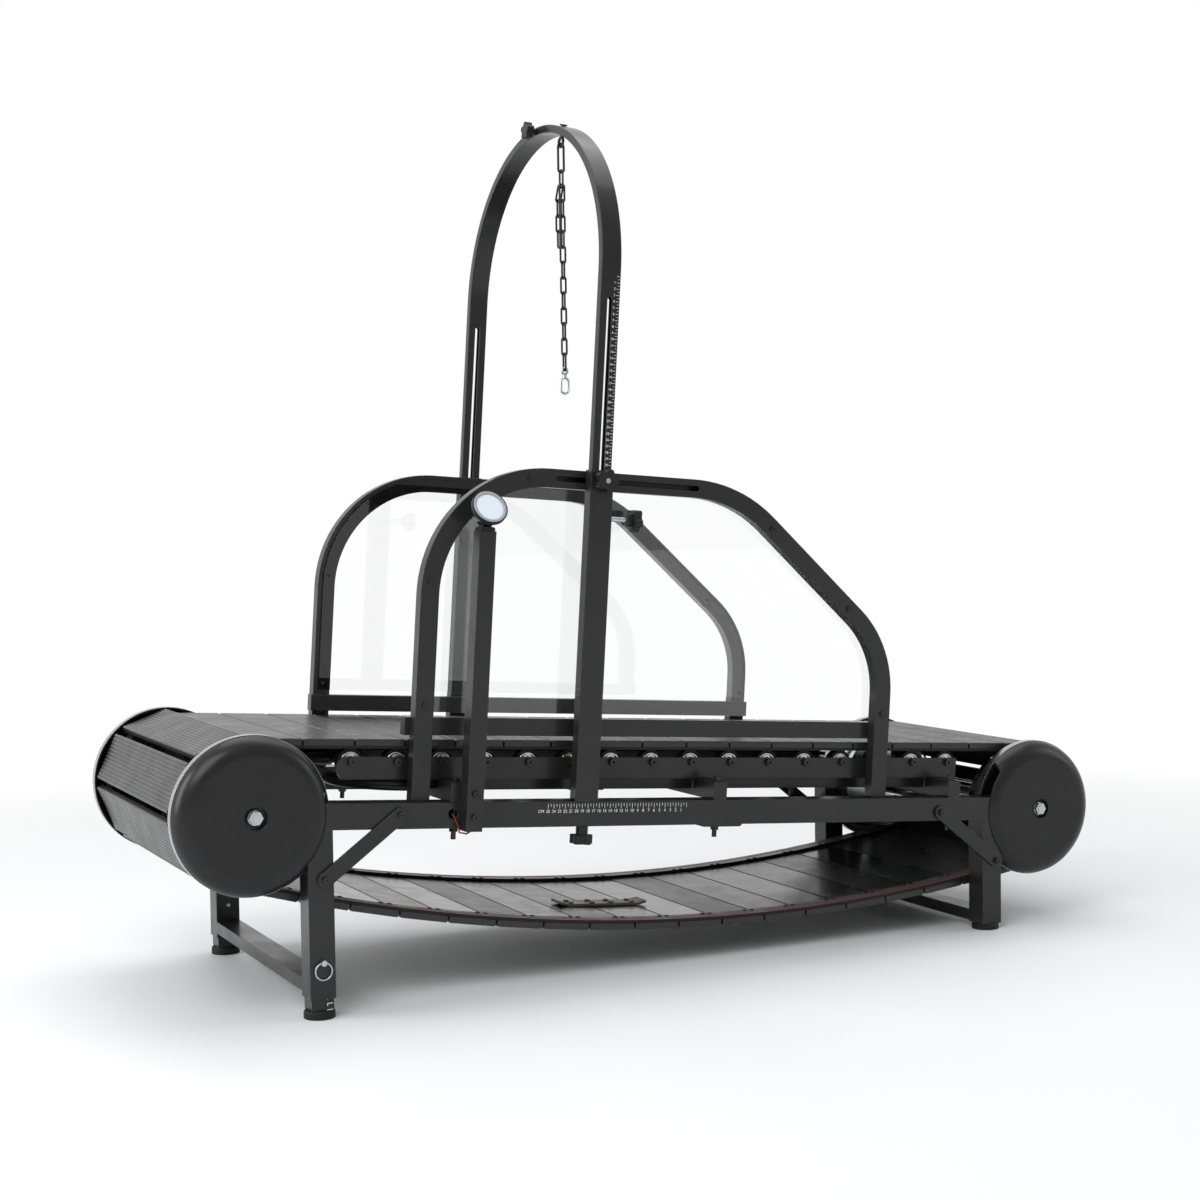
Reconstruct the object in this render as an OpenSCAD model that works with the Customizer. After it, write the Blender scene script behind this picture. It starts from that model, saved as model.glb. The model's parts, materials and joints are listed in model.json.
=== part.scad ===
// Slat treadmill for dogs, driven by the animal itself.
// Front is -X, the left side of the machine is -Y ("near"), the floor is Z = 0.
// Most pieces are drawn in the machine frame: X along the rails, Z square to the deck,
// origin halfway between the two axles. inclined() then leans that frame.

/* [Layout] */
// Distance between the two axles
axle_dist = 1453.3; // [1430:0.1:1500]
// Slope of the rails, front end high (degrees)
incline = 4.08; // [3:0.01:5]
// Height of the axle line above the floor, halfway along
axle_h = 260.4; // [250:0.1:275]
// Distance of the front legs from the front axle
front_leg_inset = 101.65; // [98:0.05:108]
// Distance of the rear legs from the rear axle
rear_leg_inset = 105.65; // [98:0.05:108]

/* [Frame tubes] */
// Width and height of the square side rails and legs
rail_size = 40; // [38:1:44]
// Wall of the frame tubes
tube_wall = 2; // [1.5:0.5:2.5]
// Distance between the centre lines of the two side rails
rail_gauge = 504; // [504:1:520]
// Where the front and rear rails are joined
rail_seam = 77.5; // [70:0.5:90]
// Width of the cross tubes along the machine
cross_w = 25; // [20:1:26]
// Height of the cross tubes
cross_h = 30; // [26:1:30]
// Height of the bottom end of the front leg tubes above the floor
front_leg_end = 30; // [26:1:34]
// Height of the bottom end of the rear leg tubes above the floor
rear_leg_end = 10; // [8:1:14]
// Height of a leg crossbar
crossbar_h = 20; // [16:1:24]
// Width of the flat corner braces
brace_w = 24; // [20:1:28]
// Thickness of the flat corner braces
brace_t = 5; // [4:0.5:6]

/* [Belt] */
// Radius of the belt wheels
wheel_r = 97.7; // [96:0.1:99]
// Thickness of the two rubber straps
strap_t = 4.5; // [4:0.5:5]
// Width of a strap
strap_w = 34; // [26:1:36]
// Thickness of a slat
slat_t = 10.5; // [9:0.5:11]
// Length of a slat across the machine
slat_len = 456; // [440:1:458]
// Number of slats in the loop
slat_count = 43; // [40:1:44]
// Gap between neighbouring slats
slat_gap = 3.5; // [3:0.5:5]
// Angle at which the hanging run leaves the wheels (degrees)
droop = 13.34; // [10:0.01:14]

/* [Deck rollers] */
// Distance between neighbouring rollers
roller_pitch = 74.67; // [70:0.01:76]
// Height of the roller axles above the axle line
roller_z = 77.2; // [76:0.1:78]
// Width of a roller
roller_w = 16; // [14:1:18]
// Distance of the roller rails' outer faces from the middle
roller_rail_y = 222; // [218:1:223]

/* [End covers] */
// Radius of a cover
cover_r = 120.4; // [119.8:0.1:124]
// Radius of the rounded edge
cover_edge = 30; // [24:1:32]
// Depth of a cover
cover_depth = 40; // [38:1:42]
// Wall of a cover
cover_wall = 3; // [2.5:0.5:3.5]

/* [Side frames] */
// Width of the bent side frame tubes, seen from the side
guard_w = 30; // [26:1:32]
// Thickness of the bent side frame tubes
guard_t = 20; // [18:1:20]
// Centre line of the front post
guard_front = -460; // [-468:1:-452]
// Centre line of the rear post
guard_rear = 390; // [380:1:400]
// Height of the top tube's centre line above the axle line
guard_top = 530; // [510:1:540]
// Thickness of the clear panels
panel_t = 4; // [3:0.5:5]
// Height of the kick bars
kick_h = 28; // [24:1:30]
// Thickness of the kick bars
kick_t = 18; // [14:1:20]

/* [Arch] */
// Place of the arch along the rail scale, from its zero (cm)
arch_scale = 18.5; // [12:0.5:22]
// Width of the arch posts along the machine
post_w = 40; // [39:1:44]
// Thickness of the arch posts
post_t = 20; // [19:0.5:20]
// Height of the hoop's top above the axle line
hoop_top = 1138; // [1100:1:1160]
// Width of the arch hoop tube
hoop_w = 34; // [30:1:34]
// Thickness of the arch hoop tube
hoop_t = 13; // [11:0.5:14]
// Diameter of the clamp studs
stud_d = 8; // [7:0.5:8]

/* [Leash chain] */
// Wire of the chain
chain_wire = 3.5; // [3.2:0.1:3.6]
// Inner length of a link
link_len = 26; // [25:0.5:29]
// Number of links between the top link and the hook, an odd number
link_count = 13; // [9:2:15]

/* [Display] */
// Width of the square display post
display_post_w = 27; // [25:1:28]
// Centre line of the display post
display_x = -387; // [-388:1:-380]
// Diameter of the display
display_d = 58; // [54:1:60]
// Upward tilt of the display face (degrees)
display_tilt = 30; // [25:1:40]

/* [Adjustable feet] */
// Diameter of the feet
foot_d = 48; // [46:1:54]
// Thickness of the front feet
foot_t = 12; // [10:1:13]
// Height of the leg pins above the floor
pin_z = 86; // [84:1:92]
// Diameter of the leg pins
pin_d = 6; // [5:0.5:6.5]
// How far a front leg can be drawn out
leg_out = 54; // [40:1:60]

/* [Hidden] */
$fn = 48;
fine = 96;

// Clearances
slide_gap = 0.5;
seat_gap = 0.3;
run_gap = 0.05;
hole_gap = 0.2;
strap_gap = 0.1;
strap_seam = 0.05;

// Rails, cross tubes and legs
axle_x = axle_dist / 2;
front_leg_x = -axle_x + front_leg_inset;
rear_leg_x = axle_x - rear_leg_inset;
rail_y = rail_gauge / 2;
rail_half = rail_size / 2;
rail_out = rail_y + rail_half;
rail_in = rail_y - rail_half;
rail_end = axle_x + 20;
cross_x = [-404, 63, 539];
cross_top = rail_half + cross_h;
joint_len = 77;
joint_t = 4;
joint_x = rail_seam - 8;
front_bar_z = front_leg_end + 8;
rear_bar_z = rear_leg_end + 2;
leg_top_z = axle_h + 80;
leg_bore = rail_size - 2 * tube_wall;
inner_leg_w = leg_bore - 2 * slide_gap;
inner_leg_top = 185;
leg_in = front_leg_end - foot_t - 1;
foot_plug = 18;

// Fixings
bolt_d = 6;
bolt_head_d = 11;
bolt_head_t = 5;
cross_bolt_d = 8;
cross_bolt_y = rail_y + 6;
cross_bolt_tail = 12;
nut_t = 6.5;
nut_d = 15;

// Belt loop: lines, wheel arcs and one large arc for the hanging run
belt_in = wheel_r + seat_gap;
belt_seat = belt_in + strap_t + strap_gap;
belt_out = belt_seat + slat_t;
hang_rho = axle_x / sin(droop);
hang_z = axle_x / tan(droop);
wheel_run = belt_seat * (180 - droop) * PI / 180;
hang_run = 2 * droop * PI / 180 * (hang_rho + belt_seat);
loop_len = axle_dist + 2 * wheel_run + hang_run;
slat_pitch = loop_len / slat_count;
slat_w = slat_pitch - slat_gap;
slat_edge = 3;
slat_half = slat_len / 2;
strap_y = slat_half - strap_w;
joiner_x = -38;
joiner_y = -50;
joiner_len = 165;
joiner_w = 38;
joiner_t = 4;
joiner_curl = 16;
joiner_gap = 0.9;

// Belt wheels and axles
axle_d = 20;
axle_end_d = 12;
wheel_lip = 3;
wheel_out = slat_half + wheel_lip;
wheel_in = strap_y;
rim_t = 5;
web_t = 6;
web_y = rail_in - 20;
hub_d = 54;
hub_end = rail_in - 14;
bearing_d = 42;
bearing_w = 12;
hub_bore = 34;
washer_d = 27;
washer_t = 2.5;
axle_nut_d = 21.9;

// Deck rollers and the rails that carry them
roller_count = 16;
roller_first = -(roller_count - 1) / 2 * roller_pitch - 2.5;
roller_r = belt_in - seat_gap - roller_z;
roller_rail_t = 4;
roller_rail_top = roller_z + 8;
roller_rail_flange = 24;
roller_bolt_d = 8;
roller_bolt_head = 13;
roller_bolt_head_t = 6;
roller_out = roller_rail_y - roller_rail_t - slide_gap - 1.5;
roller_in = roller_out - roller_w;
roller_nut_t = 6;
roller_face_d = 32;
roller_hub_d = 14;
roller_face_t = 0.8;

// Covers
cover_face = rail_out + 8;
cover_rim = cover_face - cover_depth;
cup_d = 35;
notch_gap = 1;

// Side frames, panels and kick bars
post_step = 4;
post_out = rail_out + post_step;
guard_out = post_out - post_t - 1.5;
guard_in = guard_out - guard_t;
guard_slope = 38.7;
guard_bend_x = 78;
guard_path = [[guard_front, rail_half], [guard_front, guard_top], [guard_bend_x, guard_top],
    [guard_rear, guard_top - (guard_rear - guard_bend_x) * tan(guard_slope)], [guard_rear, rail_half]];
guard_radii = [192, 235, 167];
scale_len = 250;
slot_w = stud_d + 1;
slot_x = [-scale_len - slide_gap, slide_gap];
kick_in = guard_in - kick_t;
kick_z = belt_out + 7;
kick_x = [guard_front - 24, guard_rear + 10];
panel_z = kick_z + kick_h + 8;
panel_lap = 7;
panel_screw_d = 5;
panel_screw_head = 10;
panel_screw_head_t = 3;
panel_screw_low = [168, 164];
panel_screw_drop = 172;
panel_screw_back = 378;
panel_screw_slope = [92, 298];
panel_screws = [[guard_front, panel_screw_low[0]], [guard_front + 1, guard_top - panel_screw_drop],
    [guard_bend_x - panel_screw_back, guard_top - 2], guard_path[2] + diagonal(panel_screw_slope[0]),
    guard_path[2] + diagonal(panel_screw_slope[1]), [guard_rear, panel_screw_low[1]]];

// Arch
post_x = -arch_scale * 10;
post_y = post_out - post_t / 2;
post_top = guard_top + 17;
post_bore_x = hoop_w + 2 * slide_gap;
post_bore_y = hoop_t + 2 * slide_gap;
post_foot = rail_half + seat_gap;
post_plug = 26;
foot_stud_y = post_y - 2;
foot_stud_top = post_foot + post_plug - 4;
hoop_r = post_y;
hoop_z = hoop_top - hoop_t / 2 - hoop_r;
hoop_end = 440;
hoop_wall = 2;
hoop_slot = [guard_top - 12, 818];
clamp_z = guard_top;
set_z = 471;
set_reach = 53;
knob_r = 19;
knob_lobe = 6;
knob_t = 14;
knob_boss_r = 9.75;
knob_boss_t = 8;
rail_knob_stem = 14;
tee_size = 14;
tee_t = 5;
top_stud_d = 5;
top_knob_r = 15;
top_knob_lobe = 5;
top_knob_y = 10;
top_knob_t = 12;

// Eye bolt in the crown, a little to the near side
eye_tilt = 14.1;
eye_r = 8;
eye_wire = 2.5;
eye_shank = 6;
eye_rad = hoop_r - hoop_t / 2 - eye_r - 2 * eye_wire;

// Chain and hook, hanging plumb from the eye
pivot_y = -eye_rad * sin(eye_tilt);
pivot_z = hoop_z + eye_rad * cos(eye_tilt) - eye_r;
plumb_x = post_x * cos(incline) + pivot_z * sin(incline);
plumb_z = axle_h - post_x * sin(incline) + pivot_z * cos(incline);
top_link_len = 44;
top_link_gap = 6.4;
top_wire = 4;
link_gap = 5.5;
fork_gap = 2 * chain_wire + 1.2;
fork_y = chain_wire / 2 + slide_gap / 2;
fork_rise = 1.6;
link_step = link_len - seat_gap;
link_r = link_gap / 2 + chain_wire / 2;
tail_tilt = 24;
tail_count = 4;
hook_eye_r = 5;
hook_wire = 2.2;
hook_r = 7;
hook_len = 12;
hook_neck = 6;

// Display
display_post_y = rail_out + display_post_w / 2;
display_post_end = -22;
display_post_top = 440;
display_hinge_z = display_post_top + 12;
display_back = 10;
display_depth = 16;
display_rise = 14;
display_pin_d = 5;
display_lug = 5;
display_ear = 3;
display_bolt_z = [0, 36];
lens_d = display_d - 9;
lens_t = 3;
bracket_t = 4;
bracket_x = cross_x[0] + cross_w / 2 + slide_gap;

// Sensor lead, from the rail's hole into the open foot of the display post
lead_d = 2.5;
lead_elbow_d = 2.8;
lead_hole_d = 15;
lead_hole = [display_x - 25, 2.4];
post_edge = display_x - display_post_w / 2;
lead_route = [[lead_hole[0], -rail_out + 7, lead_hole[1]], [lead_hole[0], -rail_out - 2, 1],
    [post_edge - 2.7, -rail_out - 3, -17], [post_edge - 1.5, -rail_out - 5, display_post_end - 3.5],
    [display_x - 6, -rail_out - 11, display_post_end - 5],
    [display_x - 2, -rail_out - 14, display_post_end - 2], [display_x - 1, -rail_out - 14, -9]];

// Speed sensor inside the far rear wheel
sensor_at = [axle_x - 66, -20];
sensor_d = 16;
sensor_len = 12;

// Front handle
handle_d = 17;
handle_z = cross_top - 10;
handle_y = 190;
handle_front = cross_x[0] - 148;
handle_r = 100;

// Leg pins with their pull rings
pin_head_d = 9;
pin_head_t = 8;
pin_tip = 4;
ring_r = 13;
ring_wire = 1.15;
ring_hole = 3.6;
ring_sag = 0.4;

// Middle of the floor print: the display stands out on one side only
near_reach = display_post_y + (display_back + display_depth) * cos(display_tilt)
    + (display_d / 2 - display_rise) * sin(display_tilt);
far_reach = post_out + seat_gap + knob_boss_t + knob_t;
side_shift = (near_reach - far_reach) / 2;

ROLLERS = [for (i = [1:roller_count]) str("deck_roller_", i < 10 ? "0" : "", i)];

BLACK = "#1b1b1d";
RUBBER = "#121212";
SLAT = "#3a3a3d";
ZINC = "#b9bcc0";
RED = "#a32a2a";

// Frames and shared shapes
module inclined() translate([0, side_shift, axle_h]) rotate([0, incline, 0]) children();
module standing() translate([0, side_shift, 0]) children();
module near_side() mirror([0, 1, 0]) children();
module both_sides() {
    children();
    near_side() children();
}
module block(x, y, z) translate([x[0], y[0], z[0]]) cube([x[1] - x[0], y[1] - y[0], z[1] - z[0]]);
module rod_x(d, x) translate([x[0], 0, 0]) rotate([0, 90, 0]) cylinder(d = d, h = x[1] - x[0]);
module rod_y(d, y) translate([0, y[0], 0]) rotate([-90, 0, 0]) cylinder(d = d, h = y[1] - y[0]);
module rod_z(d, z) translate([0, 0, z[0]]) cylinder(d = d, h = z[1] - z[0]);
module hex_y(d, y) translate([0, y[0], 0]) rotate([-90, 0, 0]) cylinder(d = d, h = y[1] - y[0], $fn = 6);
module hex_z(d, z) translate([0, 0, z[0]]) cylinder(d = d, h = z[1] - z[0], $fn = 6);
// Gives a flat shape of the side view (X, Z) a thickness along Y
module side_view(y) translate([0, y[1], 0]) rotate([90, 0, 0]) linear_extrude(y[1] - y[0]) children();

// A path of points in the side view, with a bend radius at each inner point
function unit(v) = v / norm(v);
function left(v) = [-v[1], v[0]];
function heading(v) = atan2(v[1], v[0]);
function leg_of(path, i) = unit(path[i + 1] - path[i]);
function turn(a, b) = atan2(a[0] * b[1] - a[1] * b[0], a * b);
function bend_angle(path, i) = turn(leg_of(path, i - 1), leg_of(path, i));
function tangent(path, radii, i) =
    i == 0 || i == len(path) - 1 ? 0 : radii[i - 1] * tan(abs(bend_angle(path, i)) / 2);
function diagonal(d) = d * [cos(guard_slope), -sin(guard_slope)];
function bend_centre(path, radii, i) = path[i] - leg_of(path, i - 1) * tangent(path, radii, i)
    + sign(bend_angle(path, i)) * radii[i - 1] * left(leg_of(path, i - 1));

// Where a leg's centre line meets a height z of the machine frame
function leg_at(x, z) = x / cos(incline) - z * tan(incline);
brace_front = [[leg_at(front_leg_x, 2) + 127.7, 2], [leg_at(front_leg_x, -94) + 6, -94]];
brace_rear = [[leg_at(rear_leg_x, -5) - 112.9, -5], [leg_at(rear_leg_x, -92) + 7, -92]];

// Square rails in two lengths, and the joint plates under their seams
module rail_tube(x) difference() {
    block(x, [rail_in, rail_out], [-rail_half, rail_half]);
    block([x[0] - 1, x[1] + 1], [rail_in + tube_wall, rail_out - tube_wall],
        [-rail_half + tube_wall, rail_half - tube_wall]);
    for (side = [-1, 1]) translate([side * axle_x, 0, 0])
        rod_y(axle_end_d + 2 * run_gap, [rail_in - 1, rail_out + 1]);
}
module stud_slot(z) {
    half = slot_w / 2;
    block(slot_x, [foot_stud_y - half, foot_stud_y + half], z);
    for (x = slot_x) translate([x, foot_stud_y, 0]) rod_z(slot_w, z);
}
module front_rail() difference() {
    rail_tube([-rail_end, rail_seam - hole_gap / 2]);
    stud_slot([-rail_half - 1, rail_half + 1]);
    brace_bolt(brace_front[0], hole_gap);
    for (i = [0, 1]) cross_bolt(i, hole_gap);
}
module rear_rail() difference() {
    rail_tube([rail_seam + hole_gap / 2, rail_end]);
    brace_bolt(brace_rear[0], hole_gap);
    cross_bolt(2, hole_gap);
}
module joint_plate() difference() {
    half = joint_len / 2;
    side_view([rail_in, rail_out]) translate([joint_x, -rail_half])
        polygon([[-half, 0], [-half + joint_t, -joint_t], [half - joint_t, -joint_t], [half, 0]]);
    cross_bolt(1, hole_gap);
}
module side_rails() color(BLACK) inclined() {
    front_rail();
    near_side() difference() {
        front_rail();
        translate([lead_hole[0], 0, lead_hole[1]])
            rod_y(lead_hole_d, [rail_out - tube_wall - 1, rail_out + 1]);
        display_bolt(display_bolt_z[0], hole_gap);
    }
    both_sides() {
        rear_rail();
        joint_plate();
    }
}

// Cross tubes on top of the rails, and the round lifting handle welded to the front one
module cross_tube(i) difference() {
    x = [cross_x[i] - cross_w / 2, cross_x[i] + cross_w / 2];
    block(x, [-rail_out, rail_out], [rail_half, cross_top]);
    block([x[0] + tube_wall, x[1] - tube_wall], [-rail_out + tube_wall, rail_out - tube_wall],
        [rail_half + tube_wall, cross_top - tube_wall]);
    both_sides() cross_bolt(i, hole_gap);
}
module handle_half() translate([0, 0, handle_z]) {
    bend_x = handle_front + handle_r;
    translate([0, handle_y, 0]) rod_x(handle_d, [bend_x, cross_x[0] - cross_w / 2 + 1]);
    translate([bend_x, handle_y - handle_r, 0]) rotate(90) rotate_extrude(angle = 90, $fn = fine)
        translate([handle_r, 0]) circle(d = handle_d);
    translate([handle_front, 0, 0]) rod_y(handle_d, [0, handle_y - handle_r]);
}
module cross_tubes() color(BLACK) inclined() {
    for (i = [0:2]) cross_tube(i);
    both_sides() handle_half();
}

// Plumb legs, cut off along the underside of the inclined rails
module leg_post(x, bottom) block([x - rail_half, x + rail_half], [rail_in, rail_out], [bottom, leg_top_z]);
module leg_hollow(x, bottom) {
    half = leg_bore / 2;
    block([x - half, x + half], [rail_y - half, rail_y + half], [bottom - 1, leg_top_z + 1]);
}
module leg_frame(x, bottom, bar_z, brace_end) difference() {
    standing() {
        both_sides() leg_post(x, bottom);
        block([x - rail_half, x + rail_half], [-rail_in, rail_in], [bar_z, bar_z + crossbar_h]);
    }
    standing() {
        open_y = rail_in + tube_wall + 1;
        both_sides() leg_hollow(x, bottom);
        block([x - rail_half + tube_wall, x + rail_half - tube_wall], [-open_y, open_y],
            [bar_z + tube_wall, bar_z + crossbar_h - tube_wall]);
    }
    inclined() {
        block([-axle_x, axle_x], [-cover_face, cover_face], [-rail_half, axle_h]);
        both_sides() brace_bolt(brace_end, hole_gap);
    }
}
module front_leg_frame() color(BLACK) difference() {
    leg_frame(front_leg_x, front_leg_end, front_bar_z, brace_front[1]);
    standing() both_sides() translate([front_leg_x, 0, pin_z])
        rod_y(pin_d + 2 * run_gap, [rail_in - 1, rail_out + 1]);
}
module rear_leg_frame() color(BLACK) leg_frame(rear_leg_x, rear_leg_end, rear_bar_z, brace_rear[1]);

// Flat corner braces with round ends on the outer faces
module brace(ends) difference() {
    side_view([rail_out, rail_out + brace_t]) {
        for (p = ends) translate(p) circle(d = brace_w);
        translate(ends[0]) rotate(heading(ends[1] - ends[0])) translate([0, hole_gap - brace_w / 2])
            square([norm(ends[1] - ends[0]), brace_w - 2 * hole_gap]);
    }
    for (p = ends) brace_bolt(p, hole_gap);
}
module leg_braces() color(BLACK) inclined() both_sides() {
    brace(brace_front);
    brace(brace_rear);
}

// Feet: a disc with a square spigot that plugs the tube
module foot(x, thick, plug) translate([x, rail_y, 0]) {
    cylinder(d = foot_d, h = thick - 3);
    translate([0, 0, thick - 3]) cylinder(d1 = foot_d, d2 = foot_d - 4, h = 3);
    translate([-plug / 2, -plug / 2, thick - 1]) cube([plug, plug, foot_plug + 1]);
}
module rear_feet() color(RUBBER) standing() both_sides()
    foot(rear_leg_x, rear_leg_end, leg_bore - 2 * hole_gap);
module front_foot() foot(front_leg_x, foot_t, inner_leg_w - 2 * tube_wall - 2 * hole_gap);
module front_foot_far() color(RUBBER) standing() front_foot();
module front_foot_near() color(RUBBER) standing() near_side() front_foot();

// Telescoping front legs, slotted for the cross pins
module inner_leg() translate([front_leg_x, rail_y, 0]) difference() {
    half = inner_leg_w / 2;
    bore = half - tube_wall;
    slot = pin_d / 2 + slide_gap;
    ends = [pin_z - leg_in, pin_z + leg_out];
    block([-half, half], [-half, half], [foot_t, inner_leg_top]);
    block([-bore, bore], [-bore, bore], [foot_t - 1, inner_leg_top + 1]);
    block([-slot, slot], [-rail_half, rail_half], ends);
    for (z = ends) translate([0, 0, z]) rod_y(2 * slot, [-rail_half, rail_half]);
}
module inner_leg_far() color(BLACK) standing() inner_leg();
module inner_leg_near() color(BLACK) standing() near_side() inner_leg();

// Cross pins with a pull ring through the head
module leg_pin() translate([front_leg_x, 0, pin_z]) {
    seat = rail_out + seat_gap;
    hole_y = seat + pin_head_t / 2;
    difference() {
        union() {
            rod_y(pin_d, [rail_in - pin_tip, seat]);
            rod_y(pin_head_d, [seat, seat + pin_head_t]);
        }
        translate([0, hole_y, 0]) rod_x(ring_hole, [-pin_head_d, pin_head_d]);
    }
    translate([0, hole_y, ring_sag - ring_r]) rotate([90, 0, 0]) rotate_extrude()
        translate([ring_r, 0]) circle(r = ring_wire);
}
module leg_pin_far() color(ZINC) standing() leg_pin();
module leg_pin_near() color(ZINC) standing() near_side() leg_pin();

// Angle rails that carry the deck rollers
function roller_x(i) = roller_first + i * roller_pitch;
module roller_rail() difference() {
    front = roller_x(0) - 7;
    rear = roller_x(roller_count - 1) + 20;
    height = roller_rail_top - cross_top;
    plate = [roller_rail_y - roller_rail_t, roller_rail_y];
    union() {
        block([front, rear], plate, [cross_top, roller_rail_top]);
        translate([front, 0, cross_top + height / 2]) rod_y(height, plate);
        block([front, rear], [roller_rail_y - roller_rail_flange, roller_rail_y],
            [cross_top, cross_top + roller_rail_t]);
    }
    for (i = [0:roller_count - 1]) translate([roller_x(i), 0, roller_z])
        rod_y(roller_bolt_d + 2 * hole_gap, [roller_in, roller_rail_y + 1]);
}
module roller_rails() color(BLACK) inclined() both_sides() roller_rail();

// Each roller turns on its own shoulder bolt; near and far rollers share one centre line
module roller_body() difference() {
    rod_y(2 * roller_r, [roller_in, roller_out]);
    rod_y(roller_bolt_d + 2 * run_gap, [roller_in - 1, roller_out + 1]);
    for (y = [[roller_in - 1, roller_in + roller_face_t], [roller_out - roller_face_t, roller_out + 1]])
        difference() {
            rod_y(roller_face_d, y);
            rod_y(roller_hub_d, [y[0] - 1, y[1] + 1]);
        }
}
module deck_roller(i) color(RUBBER) inclined() translate([roller_x(i), 0, roller_z])
    both_sides() roller_body();

// Socket screws and bolts, drawn by the same modules that cut their holes
module socket_screw(d, y, head, head_t) difference() {
    union() {
        rod_y(d, y);
        rod_y(head, [y[1] - head_t, y[1]]);
    }
    hex_y(0.6 * d, [y[1] - 0.6 * head_t, y[1] + 1]);
}
module brace_bolt(p, gap = 0) translate([p[0], 0, p[1]]) {
    outer = rail_out + brace_t;
    inner = rail_out - tube_wall - 6;
    if (gap > 0) rod_y(bolt_d + 2 * gap, [inner - 1, outer + 1]);
    else socket_screw(bolt_d, [inner, outer + bolt_head_t], bolt_head_d, bolt_head_t);
}
module cross_bolt(i, gap = 0) translate([cross_x[i], cross_bolt_y, 0]) {
    under = i == 1 ? -rail_half - joint_t : -rail_half;
    rod_z(cross_bolt_d + 2 * gap, [under - nut_t - cross_bolt_tail, cross_top + nut_t + 2]);
    if (gap == 0) {
        hex_z(nut_d, [cross_top, cross_top + nut_t]);
        hex_z(nut_d, [under - nut_t, under]);
    }
}
module panel_screw(p, gap = 0) translate([p[0], 0, p[1]]) {
    inner = guard_in - panel_t;
    if (gap > 0) rod_y(panel_screw_d + 2 * gap, [inner - 1, guard_out + 1]);
    else socket_screw(panel_screw_d, [inner - 3, guard_out + panel_screw_head_t], panel_screw_head,
        panel_screw_head_t);
}
module roller_bolt(i) translate([roller_x(i), 0, roller_z]) {
    inner = roller_in - slide_gap;
    socket_screw(roller_bolt_d, [inner - roller_nut_t, roller_rail_y + roller_bolt_head_t], roller_bolt_head,
        roller_bolt_head_t);
    hex_y(nut_d, [inner - roller_nut_t, inner]);
    rod_y(roller_hub_d - 2, [roller_out + slide_gap, roller_rail_y - roller_rail_t]);
}
module display_bolt(z, gap = 0) translate([display_x, 0, z]) {
    outer = rail_out + display_post_w;
    inner = rail_out - bracket_t - 4;
    if (gap > 0) rod_y(bolt_d + 2 * gap, [inner - 1, outer + 1]);
    else socket_screw(bolt_d, [inner, outer + bolt_head_t], bolt_head_d, bolt_head_t);
}
module frame_bolts() color(BLACK) inclined() {
    both_sides() {
        for (p = concat(brace_front, brace_rear)) brace_bolt(p);
        for (i = [0:2]) cross_bolt(i);
        for (p = panel_screws) panel_screw(p);
        for (i = [0:roller_count - 1]) roller_bolt(i);
    }
    near_side() for (z = display_bolt_z) display_bolt(z);
}

// Fixed axles, ball bearings, washers and nuts
module at_axles() for (x = [-axle_x, axle_x]) translate([x, 0, 0]) children();
module axles() color(ZINC) inclined() at_axles() {
    rod_y(axle_d, [-rail_in, rail_in]);
    rod_y(axle_end_d, [-cover_face - 2, cover_face + 2]);
}
module wheel_bearing() difference() {
    y = [hub_end - 1 - bearing_w, hub_end - 1];
    rod_y(bearing_d, y);
    rod_y(axle_d + 2 * run_gap, [y[0] - 1, y[1] + 1]);
}
module wheel_bearings() color(ZINC) inclined() at_axles() both_sides() wheel_bearing();
module axle_nut() difference() {
    union() {
        rod_y(washer_d, [rail_out, rail_out + washer_t]);
        hex_y(axle_nut_d, [rail_out + washer_t, rail_out + washer_t + nut_t]);
    }
    rod_y(axle_end_d + 2 * run_gap, [rail_out - 1, cover_face + 3]);
}
module axle_nuts() color(ZINC) inclined() at_axles() both_sides() axle_nut();

// Dished end covers, notched round the rail and the leg, with a collar round the axle nut
module cover_profile(r, edge, face) {
    square([r, face - edge]);
    square([r - edge, face]);
    translate([r - edge, face - edge]) intersection() {
        circle(r = edge, $fn = fine);
        square(edge);
    }
}
module cover_dish() difference() {
    union() {
        collar = rail_out + slide_gap - cover_rim;
        rotate_extrude($fn = fine) difference() {
            cover_profile(cover_r, cover_edge, cover_depth);
            translate([0, -1])
                cover_profile(cover_r - cover_wall, cover_edge - cover_wall, cover_depth + 1 - cover_wall);
        }
        translate([0, 0, collar]) cylinder(d = cup_d + 2 * cover_wall, h = cover_depth - collar);
    }
    cylinder(d = cup_d, h = cover_depth + 1);
}
module drum_cover(side) difference() {
    reach = rail_half + notch_gap;
    leg_x = side > 0 ? rear_leg_x : front_leg_x;
    deep = [cover_rim - 1, rail_out + seat_gap];
    translate([side * axle_x, cover_rim, 0]) rotate([-90, 0, 0]) cover_dish();
    block(side > 0 ? [0, rail_end + notch_gap] : [-rail_end - notch_gap, 0], deep, [-reach, reach]);
    rotate([0, -incline, 0]) translate([0, 0, -axle_h])
        block([leg_x - reach, leg_x + reach], deep, [0, leg_top_z]);
}
module drum_covers() color(BLACK) inclined() both_sides() {
    drum_cover(-1);
    drum_cover(1);
}

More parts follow.
